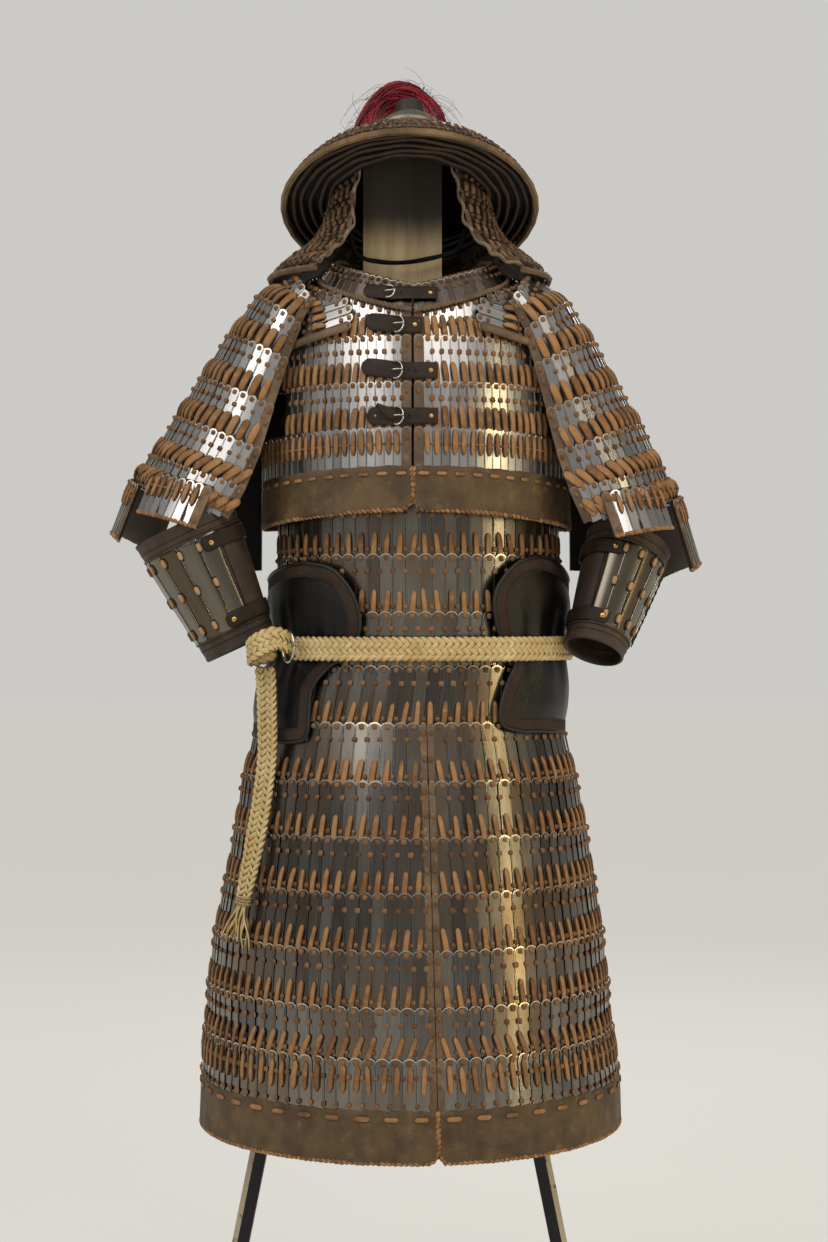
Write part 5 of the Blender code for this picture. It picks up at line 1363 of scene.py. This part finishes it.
# ------------------------ vambraces
# Tapered tubes of overlapping splints on a leather sleeve, with a plain leather panel on the side
# towards the body, a leather band at the elbow, a cuff at the wrist and two riveted straps.
VAMBRACES = {  # bottom centre, top centre, width over depth
    -1: ((-0.2350, -0.088, 1.0604), (-0.3150, -0.091, 1.2320), 1.11),
    1: ((0.2700, -0.097, 1.0530), (0.3255, -0.045, 1.2080), 0.89),
}
WRIST_RADIUS, ELBOW_RADIUS, BULGE = 0.0455, 0.0670, 0.001
CUFF_SHARE, BAND_SHARE, BAND_OUT = 0.13, 0.87, 0.0010
SPLINTS, PANEL_FROM, PANEL_TO = 10, np.radians(30), np.radians(150)
SPLINT_KNOTS = (0.785, 0.50, 0.215)


def vambrace_surface(side):
    """Vambrace by angle from the front, growing towards +X, and share up from the wrist."""
    bottom, top, widen = (np.array(item) for item in VAMBRACES[side])
    axis = unit(top - bottom)
    length = np.linalg.norm(top - bottom)
    front = unit(np.array((0.0, -1.0, 0.0)) + axis * axis[1])
    across = np.cross(axis, front)

    def surface(angle, share, out):
        angle, share, out = np.broadcast_arrays(angle, share, out)
        radius = WRIST_RADIUS + (ELBOW_RADIUS - WRIST_RADIUS) * share + BULGE * np.sin(np.pi * share)
        return (bottom + axis * (length * share)[..., None]
                + across * (np.sin(angle) * (radius * widen + out))[..., None]
                + front * (np.cos(angle) * (radius / widen + out))[..., None])
    return surface


SPLINT_ENDS, PANEL_ENDS, PANEL_LAP = (0.140, 0.860), (0.134, 0.866), 0.06
VAMBRACE_STRAPS = ((0.150, 0.252, 0.02, 2.88), (0.735, 0.840, 0.22, 1.90))  # low, high, from and to
STRAP_OUT, SEAM, CUFF_STITCH, CUFF_ROLL, CORD = 0.0058, 0.0018, 0.0014, 0.0036, 0.0020
SPLINT_THICK, SLEEVE_THICK, CUFF_THICK = 0.0013, 0.0022, 0.0040
TIE, HOLE = np.array([[0.0074, 0.0125, 0.0024]]), np.array([[0.0052, 0.0042, 0.0006]])
sleeve_leather = leather_finish("sleeve_leather", (44, 32, 22), (74, 56, 40), (102, 82, 60), 0.56, 1000.0,
                                0.0003)
splint_steel = steel_finish("splint_steel", (84, 76, 62), (176, 174, 164), (92, 72, 48), 0.40, 0.30, 0.8)
tie_leather = lace_finish("tie_leather", (140, 106, 70), (184, 146, 102), (204, 170, 126), (60, 40, 26))
for side, name in ((-1, "left"), (1, "right")):
    surface = vambrace_surface(side)
    body = -side       # sign of the angle at which the arm faces the body
    splints, sleeve, dark, ties, rivets = Stock(), Stock(), Stock(), Stock(), Stock()
    span = 2 * np.pi - (PANEL_TO - PANEL_FROM)
    share = np.linspace(*SPLINT_ENDS, 25)[:, None]
    local = shares(6)
    for number in range(SPLINTS):
        wave = 0.012 * np.sin(3 * np.pi * share + 0.6 * number)
        first = PANEL_TO + span * (number - 0.06) / SPLINTS
        angle = body * (first + wave + span * 1.14 / SPLINTS * local)[:, ::body]
        lift = 0.0016 + 0.0016 * local[::body] + 0 * share
        marks = joined(0.03 + 0.94 * local + number, 0.05 + 0.9 * share)
        sheet_on(splints, surface, angle, share + 0 * local, lift, SPLINT_THICK, marks=marks)
        for level in SPLINT_KNOTS:
            at = body * (first + span * (0.16 + 0.06 * np.sin(number + 9 * level)) / SPLINTS)
            _, across, up, outward = seat_at(surface, at, level)
            axes = np.stack((across, up, outward))[None]
            spot = surface(np.array([at]), np.array([level - 0.028]), 0.0036)
            ties.copies(SHORT_THONG, spot, axes, TIE)
            for end in (-0.0004, 0.0126):
                dark.copies(KNOT, spot + up * end, axes, HOLE)
    angle, level = np.meshgrid(np.linspace(PANEL_FROM - PANEL_LAP, PANEL_TO + PANEL_LAP, 24),
                               np.linspace(*PANEL_ENDS, 10))
    sheet_on(sleeve, surface, body * angle[:, ::body], level, 0.0012, SLEEVE_THICK)
    up_line = np.linspace(*PANEL_ENDS, 40)
    for seam in (PANEL_FROM - PANEL_LAP, PANEL_FROM + 0.10, PANEL_TO - 0.10, PANEL_TO + PANEL_LAP):
        at = np.full(40, body * seam)
        sweep(dark, surface(at, up_line, 0.0016), outward_at(surface, at, up_line), SEAM, SEAM, 6)
    around = circle(64)
    for low, high in ((0.0, CUFF_SHARE), (BAND_SHARE, 1.0)):
        angle, level = np.meshgrid(around, np.linspace(low, high, 9))
        way = (level - low) / (high - low)
        roll = 0.0018 * np.exp(-((way - (1 if low else 0)) / 0.16) ** 2) + 0.0008 * np.sin(np.pi * way)
        sheet_on(sleeve, surface, angle, level, BAND_OUT + roll + 0.0004, CUFF_THICK, closed=True)
        for stock, at, thick in ((dark, low + (high - low) * (0.42 if low else 0.60), CUFF_STITCH),
                                 (sleeve, low - 0.004 if low else high + 0.004, CUFF_ROLL)):
            level = np.full(64, at)
            sweep(stock, surface(around, level, BAND_OUT + 0.0012), outward_at(surface, around, level),
                  thick, thick, 6, closed=True)
    for low, high, start, end in VAMBRACE_STRAPS:
        centre = (low + high) / 2
        angle, level = np.meshgrid(np.linspace(start, end, 44), np.linspace(low, high, 7))
        tip = np.clip((angle - start) / 0.16, 0, 1)
        narrow = np.sqrt(np.clip(1 - (1 - tip) ** 6, 0.45, 1))
        level = centre + (level - centre) * narrow - 0.012 * np.clip(0.5 - angle, 0, 1)
        angle = body * angle[:, ::body]
        sheet_on(dark, surface, angle, level[:, ::body], STRAP_OUT + 0.0008 * np.sin(angle * 7), STRAP_THICK)
        at, level = body * (start + 0.17), centre - 0.004
        _, *axes = seat_at(surface, at, level)
        spot = surface(np.array([at]), np.array([level]), STRAP_OUT + 0.0004)[0]
        dome(rivets, spot, *axes, 0.0042, STUD_RISE)
    if side > 0:
        level = np.linspace(0.15, 0.85, 50)
        for cord_at in (1.44, 1.62):
            line = surface(np.full(50, cord_at), level, 0.0052 + 0.0006 * np.sin(level * 90))
            sweep(dark, line, (1.0, 0.0, 0.3), CORD, CORD, 6)
    label = "vambrace_" + name
    splints.build(label + "_splints", splint_steel, "bright_plates")
    ties.build(label + "_ties", tie_leather, "strap_leather")
    sleeve.build(label + "_sleeve", sleeve_leather, "hem_leather", (label + "_cuff", label + "_top_band"))
    dark.build(label + "_straps", strap_leather, "strap_leather", (label + "_strap",))
    rivets.build(label + "_studs", brass_studs, "buckle_steel")
    wear(sleeve_leather, "hem_leather", label)


# ------------------------ helmet
# A wide cone of small laced plates tilted back, with a leather roll round its rim, leather rolls
# over the joints inside, a ribbed crown disc, a dark finial and an arch of red hair behind it.
HELMET_CENTRE = np.array((0.007, 0.0, 1.703))
HELMET_TILT = np.radians(24)
HELMET_PROFILE = (  # share up, distance from the axis, rise, how much lower at the front
    (0.00, 0.1835, 0.0070, 0.0), (0.12, 0.1720, 0.0235, 0.002), (0.34, 0.1500, 0.0495, 0.005),
    (0.50, 0.1200, 0.0770, 0.0085), (0.68, 0.0900, 0.1015, 0.010), (0.86, 0.0600, 0.1205, 0.006),
    (1.00, 0.0385, 0.1320, 0.0),
)
HELMET_ROWS = (0.86, 0.68, 0.50, 0.32, 0.15, 0.0)
PLUME_ROUTE = (
    (-0.0500, 0.1220, 1.8080), (-0.0560, 0.1290, 1.8500), (-0.0450, 0.1320, 1.8820),
    (-0.0180, 0.1340, 1.9020), (0.0120, 0.1340, 1.9010), (0.0350, 0.1320, 1.8800),
    (0.0430, 0.1280, 1.8480), (0.0420, 0.1220, 1.8120),
)
HAIRS, STRAYS = 760, 84
HAIR, STRAY, COARSE_HAIR, PLUME_RADIUS, PLUME_CORE = 0.0023, 0.00062, 0.0022, 0.0205, 0.0250
ROLL_WIDE, ROLL_TALL = 0.0064, 0.0060
ROLLS = (  # distance from the axis and rise of the leather rolls inside
    (0.1720, 0.0034), (0.1590, 0.0052), (0.1455, 0.0070), (0.1315, 0.0088), (0.1175, 0.0108),
)
LINER_RADIUS, LINER_WIDTH, LINER_RISE, LINER_CLIMB, LINER_THICK = 0.1810, 0.0730, 0.0060, 0.0098, 0.0024
CROWN_RADIUS, CROWN_TAPER, CROWN_RISE, CROWN_TALL, CROWN_RIB = 0.0575, 0.0205, 0.1286, 0.0262, 0.0011
STANDING_HAIR = np.array(((0.012, 0.128, 1.905), (0.016, 0.127, 1.909), (0.021, 0.126, 1.907),
                          (0.026, 0.125, 1.911), (0.029, 0.124, 1.918)))


def helmet_point(turn, away, rise):
    """Point by its turn from the front, distance from the helmet's axis and rise along it."""
    front = away * np.cos(turn)
    return HELMET_CENTRE + joined(away * np.sin(turn),
                                  rise * np.sin(HELMET_TILT) - front * np.cos(HELMET_TILT),
                                  rise * np.cos(HELMET_TILT) + front * np.sin(HELMET_TILT))


def helmet_surface(u, v, out):
    """Outside of the cone: u round it from the back, v up it."""
    turn = np.pi + 2 * np.pi * u
    away, rise, drop = (smooth(HELMET_PROFILE, column, v) for column in (1, 2, 3))
    rise = rise - drop * np.clip(np.cos(turn), 0, None) ** 6
    return helmet_point(turn, away + 0.55 * out, rise + 0.83 * out)


helmet = Lacing("helmet", **{
    **VEST_STYLE, "pitch": 0.0130, "arch": 0.0055, "under": 0.003, "high": 0.0016, "knot_rise": 0.0016,
    "thong_rise": 0.0014,
    "knots": (("top", 0.0060, 0.0, 0.0070, 0.0050), ("top", 0.0165, 0.5, 0.0070, 0.0050)),
    "thongs": (("low", -0.001, 0.013, 0.0, 0.0050, 0.0, 0.0006, SHORT_THONG),)})
for top, foot in zip(HELMET_ROWS, HELMET_ROWS[1:]):
    helmet.row(helmet_surface, top, foot)
helmet_steel = steel_finish("helmet_steel", (104, 99, 90), (172, 166, 152), (104, 78, 52), 0.5, 0.32)
helmet.build(helmet_steel, old_lace, "plates")
wear(plate_backs, "plates", "helmet_bowl")
rim_leather = leather_finish("rim_leather", (90, 68, 42), (140, 112, 74), (172, 144, 102), 0.6)
wear(rim_leather, "hem_leather", "helmet_rim")

ring_leather = leather_finish("ring_leather", (38, 25, 16), (68, 47, 31), (98, 72, 48), 0.62)
rolls = Stock()
around = circle(144)
facing_axis = (0.0, np.sin(HELMET_TILT), np.cos(HELMET_TILT))
for number, (away, rise) in enumerate(ROLLS):
    wobble = 0.0008 * np.sin(around * 5 + 2 * number) + 0.0007 * np.sin(around * 13 + number)
    line = helmet_point(around, away + wobble, rise + 0.6 * wobble)
    sweep(rolls, line, facing_axis, ROLL_WIDE, ROLL_TALL, 8, closed=True)
liner_leather = leather_finish("liner_leather", (8, 6, 5), (18, 13, 9), (30, 22, 15), 0.75)
liner = Stock()
turn, share = np.meshgrid(around, shares(9))
ragged = share * (0.0026 * np.sin(turn * 9) + 0.0015 * np.sin(turn * 23 + 1))
away = LINER_RADIUS - LINER_WIDTH * share + ragged
rise = LINER_RISE + LINER_CLIMB * share - 0.004 * share**6
shell(liner, helmet_point(turn, away, rise + LINER_THICK), helmet_point(turn, away, rise), closed=True)
liner.build("helmet_liner", liner_leather, "hem_leather")
rolls.build("helmet_rolls", ring_leather, "hem_leather")

crown = Stock()
turn, share = np.meshgrid(circle(192), shares(9))
rib = CROWN_RIB * np.abs(np.cos(turn * 14)) * np.sin(np.pi * np.clip(share, 0.05, 0.95))
away, rise = CROWN_RADIUS - CROWN_TAPER * share + rib, CROWN_RISE + CROWN_TALL * share**0.8
shell(crown, helmet_point(turn, away, rise), helmet_point(turn, away * 0.60, rise - 0.001), closed=True)
crown_iron = mottled_metal("crown_iron", 0.9, 40.0, 4.0, (108, 101, 91), (158, 149, 136), 0.44, 0.12, 0.0003)
crown.build("crown_disc", crown_iron, "bright_plates", ("helmet_crown",))
finial_iron = mottled_metal("finial_iron", 0.7, 60.0, 4.0, (48, 42, 40), (78, 70, 66), 0.45, 0.25, 0.0006)
wear(finial_iron, "dark_steel", "helmet_finial")


def strands(stock, lines, thick):
    """Many thin three-sided strands: point = line + thick*(cos, sin) in the strand's own frame."""
    count, length = lines.shape[:2]
    ahead = unit(np.gradient(lines, axis=1))
    side = unit(np.cross(ahead, (0.12, 1.0, 0.07)))
    other = np.cross(ahead, side)
    fine = thick * (1 - 0.6 * shares(length) ** 4)[None, :, None, None] / 2
    turn = circle(3)[:, None]
    ring = (lines[:, :, None] + side[:, :, None] * np.cos(turn) * fine
            + other[:, :, None] * np.sin(turn) * fine)
    shift = (np.arange(count) * length * 3)[:, None, None]
    tone = np.repeat(joined(np.arange(count) + 0.5, 0.5), length * 3, 0)
    stock.add(ring, (quads(length, 3, True)[None, :, ::-1] + shift).reshape(-1, 4), tone)


hair = Stock()
share = shares(22)
spine = curve(PLUME_ROUTE, 22)
spine_ahead = unit(np.gradient(spine, axis=0))
spine_side = unit(np.cross(spine_ahead, (0.0, 1.0, 0.0)))
angle = draw.uniform(0, 2 * np.pi, HAIRS)[:, None]
radius = PLUME_RADIUS * np.sqrt(draw.uniform(0, 1, HAIRS))[:, None]
twist = draw.normal(0, 1.5, HAIRS)[:, None] * share + angle
reach = radius * (1 + 0.24 * np.sin(share * draw.uniform(4, 13, HAIRS)[:, None] + 3 * angle))
reach = reach * (1 + 0.14 * np.sin(share * 17)) * (0.94 - 0.16 * share)
lines = (spine + spine_side * (np.cos(twist) * reach)[..., None]
         + np.array((0.0, 1.0, 0.0)) * (np.sin(twist) * reach * 0.9)[..., None])
strands(hair, lines, HAIR)
sweep(hair, spine, (0.0, -1.0, 0.0), PLUME_CORE, PLUME_CORE, 10)
plume_hair = Finish("plume_hair", Specular_IOR_Level=0.6)
hair_tone = own_tone(plume_hair, plume_hair.node("UVMap", {"uv_map": "plate"}))
hair_share = plume_hair.step(hair_tone * 0.6 + plume_hair.noise(40.0, 3.0, 0.6) * 0.5, 0.30, 0.85)
plume_red = plume_hair.finish(Base_Color=plume_hair.mix(hair_share, (78, 4, 17), (172, 14, 42)),
                              Roughness=0.36 + 0.1 * hair_tone)
hair.build("plume_hair", plume_red, "hair", ("plume",))
stray = Stock()
start = draw.integers(2, 17, STRAYS)
fly = shares(14)
away = unit(spine_side[start] + draw.normal(0, 0.45, (STRAYS, 3)))[:, None]
along = (spine_ahead[start] * draw.choice([-1.0, 1.0], STRAYS)[:, None])[:, None]
long = draw.uniform(0.016, 0.046, STRAYS)[:, None, None]
bend = draw.uniform(0.5, 1.6, STRAYS)[:, None, None]
stray_lines = (spine[start][:, None] + away * (0.010 + long * np.sin(fly * 1.5)[:, None])
               + along * (long * bend * (1 - np.cos(fly * 1.5))[:, None])
               - np.array((0.0, 0.0, 1.0)) * (long * 0.8 * fly[:, None] ** 2))
strands(stray, stray_lines, STRAY)
sweep(stray, curve(STANDING_HAIR, 14), (0.0, -1.0, 0.0), COARSE_HAIR, COARSE_HAIR, 5)
stray_hair = Finish("stray_hair", Roughness=0.5)
stray_brown = stray_hair.mix(stray_hair.noise(300.0), (40, 28, 26), (82, 60, 54))
stray.build("plume_strays", stray_hair.finish(Base_Color=stray_brown), "hair")


# ------------------------ aventail
# A laced curtain hangs from the helmet's inner ring and flares over the shoulders, open in front.
# Pale leather faces its two front edges, and its foot is turned over a leather roll.
AVENTAIL_TABLE = (  # share down, share outward, share of the drop, right and left front angle
    (0.0, 0.00, 0.00, 27.0, 36.0), (1 / 6, 0.03, 0.22, 32.0, 38.5), (2 / 6, 0.12, 0.45, 35.8, 40.5),
    (3 / 6, 0.30, 0.67, 35.1, 35.2), (4 / 6, 0.72, 0.86, 37.1, 35.1), (5 / 6, 0.90, 0.95, 41.6, 38.6),
    (1.0, 1.00, 1.00, 52.0, 40.8),
)
CURTAIN_RING, CURTAIN_RISE = 0.1120, 0.0560
CURTAIN_STRIP, RIM_WIDE, RIM_THICK = 0.0075, 0.0042, 0.0064
CURTAIN_HEM = (0.2000, 0.1500, 0.2150)       # half width, reach in front and behind
CURTAIN_FOOT = (1.6040, 1.5800)              # height at the sides and behind
CURTAIN_ROWS = (1.0, 0.86, 0.72, 0.59, 0.46, 0.34, 0.17, 0.0)


def aventail_base(u, v):
    """Curtain by u from its right front edge round the back to the left, and v up from its hem."""
    down = 1 - np.clip(v, 0, 1)
    out, drop, first, last = (smooth(AVENTAIL_TABLE, column, down) for column in (1, 2, 3, 4))
    first, last = np.radians(first), 2 * np.pi - np.radians(last)
    turn = first + (last - first) * u
    top = helmet_point(turn, CURTAIN_RING, CURTAIN_RISE)
    depth = np.where(np.cos(turn) > 0, CURTAIN_HEM[1], CURTAIN_HEM[2])
    foot = CURTAIN_FOOT[0] + (CURTAIN_FOOT[1] - CURTAIN_FOOT[0]) * np.clip(-np.cos(turn), 0, None)
    hem = joined(HELMET_CENTRE[0] + CURTAIN_HEM[0] * np.sin(turn), -depth * np.cos(turn), foot)
    return top + (hem - top) * joined(out, out, drop)


def aventail_surface(u, v, out):
    """Curtain moved out along its normal."""
    u, v, out = np.broadcast_arrays(u, v, out)
    safe = np.clip(v, 0.004, 0.996)
    across = aventail_base(u + 0.003, safe) - aventail_base(u - 0.003, safe)
    rise = aventail_base(u, safe + 0.003) - aventail_base(u, safe - 0.003)
    return aventail_base(u, v) + unit(np.cross(across, rise)) * out[..., None]


curtain = Lacing("aventail", **{
    **VEST_STYLE, "pitch": 0.0128, "arch": 0.0048, "under": 0.003, "high": 0.0034, "jitter": 0.07,
    "tilt": 0.08,
    "knots": (("top", 0.0058, 0.0, 0.0084, 0.0080), ("top", 0.0160, 0.5, 0.0084, 0.0080)),
    "edge_knots": (("top", 0.0100, 0.0, 0.0060, 0.0076),),
    "thongs": (("low", -0.003, 0.017, 0.0, 0.0082, 0.12, 0.0022, SHORT_THONG),)})
for top, foot in zip(CURTAIN_ROWS, CURTAIN_ROWS[1:]):
    plain = {} if foot else {"thongs": ()}
    curtain.row(aventail_surface, top, foot, edges=(CURTAIN_STRIP, CURTAIN_STRIP), **plain)
curtain.build(dark_steel, old_lace, "plates")
wear(plate_backs, "plates", "aventail")
wear(edge_leather, "hem_leather", "aventail_hem")
rims = Stock()
v = np.linspace(0.01, 1.0, 90)
for edge_u in (0.002, 0.998):
    wave = 0.0022 * np.sin(v * 44 + edge_u)
    line = aventail_surface(np.full(90, edge_u) + wave * 0.4, v, 0.0016 + wave)
    outward = outward_at(aventail_surface, np.full(90, edge_u), np.clip(v, 0.01, 0.99))
    sweep(rims, line, outward, RIM_WIDE, RIM_THICK, 8)
pale_leather = leather_finish("pale_leather", (104, 88, 68), (160, 142, 116), (196, 182, 158), 0.6)
rims.build("aventail_rims", pale_leather, "hem_leather")


# ------------------------ chin strap
# A flat black cord hangs from the inside of the helmet across the neck board.
CHIN_ROUTE = (
    (-0.0850, -0.0080, 1.7100), (-0.0815, -0.0290, 1.6720), (-0.0735, -0.0435, 1.6370),
    (-0.0590, -0.0500, 1.6225), (-0.0390, -0.0510, 1.6180), (-0.0180, -0.0515, 1.6160),
    (0.0050, -0.0515, 1.6170), (0.0290, -0.0505, 1.6210), (0.0520, -0.0490, 1.6265),
    (0.0750, -0.0425, 1.6360), (0.0885, -0.0280, 1.6680), (0.0950, -0.0080, 1.7080),
)
CHIN_WIDTH, CHIN_THICK = 0.0070, 0.0024
chin = Stock()
chin_line = curve(CHIN_ROUTE, 120)
chin_twist = 0.7 * np.sin(np.linspace(0, 3 * np.pi, 120))
chin_face = joined(0.0, -np.cos(chin_twist), np.sin(chin_twist))
sweep(chin, chin_line, chin_face, CHIN_WIDTH, CHIN_THICK, 10)
chin_cord = leather_finish("chin_cord", (6, 6, 7), (14, 13, 13), (24, 22, 21), 0.75, Specular_IOR_Level=0.2)
chin_piece = chin.build("chin_cord", chin_cord, "cord_black", ("chin_strap",))
float(lengths_along(chin_line)[-1])


# ------------------------ studio
# A pale floor and soft light: a broad white light high on the left, a window-like panel below it,
# a tall warm strip low on the right and a weak fill, with the camera level with the waist.
floor_mesh = bpy.data.meshes.new("floor")
floor_mesh.from_pydata([(-25, -25, 0), (25, -25, 0), (25, 25, 0), (-25, 25, 0)], [], [(0, 1, 2, 3)])
floor_finish = Finish("floor", Roughness=0.7, Emission_Strength=1.02, Emission_Color=colour(190, 188, 182))
floor_mesh.materials.append(floor_finish.finish(
    Base_Color=floor_finish.mix(floor_finish.noise(1.2), (140, 138, 134), (148, 146, 141))))
place_in_scene("floor", floor_mesh)


def light(name, place, aim, size, power, tint):
    """Rectangular area light at a place, turned towards a point."""
    lamp = bpy.data.lights.new(name, "AREA")
    lamp.shape = "RECTANGLE"
    lamp.size, lamp.size_y = size
    lamp.energy = power
    lamp.color = tint
    made = place_in_scene(name, lamp)
    made.location = place
    made.rotation_euler = (Vector(aim) - Vector(place)).to_track_quat("-Z", "Y").to_euler()


light("key", (-2.1, -2.0, 3.9), (0.0, 0.0, 1.2), (2.2, 2.8), 60, (1.0, 0.97, 0.91))
light("window", (-1.75, -2.55, 2.45), (0.0, 0.0, 1.5), (0.62, 1.1), 3, (0.97, 0.98, 1.0))
light("warm_strip", (2.3, -1.15, 1.2), (0.1, 0.0, 1.1), (0.13, 2.0), 13, (1.0, 0.80, 0.40))
light("fill", (1.5, -2.8, 4.3), (0.0, 0.0, 0.9), (2.6, 2.0), 62, (1.0, 0.95, 0.88))
light("back_light", (0.6, 2.8, 2.6), (0.0, 0.0, 1.2), (2.0, 1.4), 30, (0.95, 0.97, 1.0))
scene.world = bpy.data.worlds.new("studio")
scene.world.use_nodes = True
nodes, link = scene.world.node_tree.nodes, scene.world.node_tree.links.new
seen, around_it = nodes["Background"], nodes.new("ShaderNodeBackground")
seen.inputs["Color"].default_value = (0.60, 0.59, 0.565, 1.0)
around_it.inputs["Color"].default_value = (0.235, 0.228, 0.218, 1.0)
ray, choice = nodes.new("ShaderNodeLightPath"), nodes.new("ShaderNodeMixShader")
link(ray.outputs["Is Camera Ray"], choice.inputs[0])
link(around_it.outputs[0], choice.inputs[1])
link(seen.outputs[0], choice.inputs[2])
link(choice.outputs[0], nodes["World Output"].inputs["Surface"])
scene.view_settings.view_transform = "Standard"

camera_data = bpy.data.cameras.new("camera")
camera_data.lens = 58.87
camera_data.sensor_width = 36.0
camera_data.clip_end = 60.0
camera = place_in_scene("camera", camera_data)
camera.location = (0.0133, -3.0, 1.096)
camera.rotation_euler = (np.pi / 2, 0.0, 0.0)
scene.camera = camera
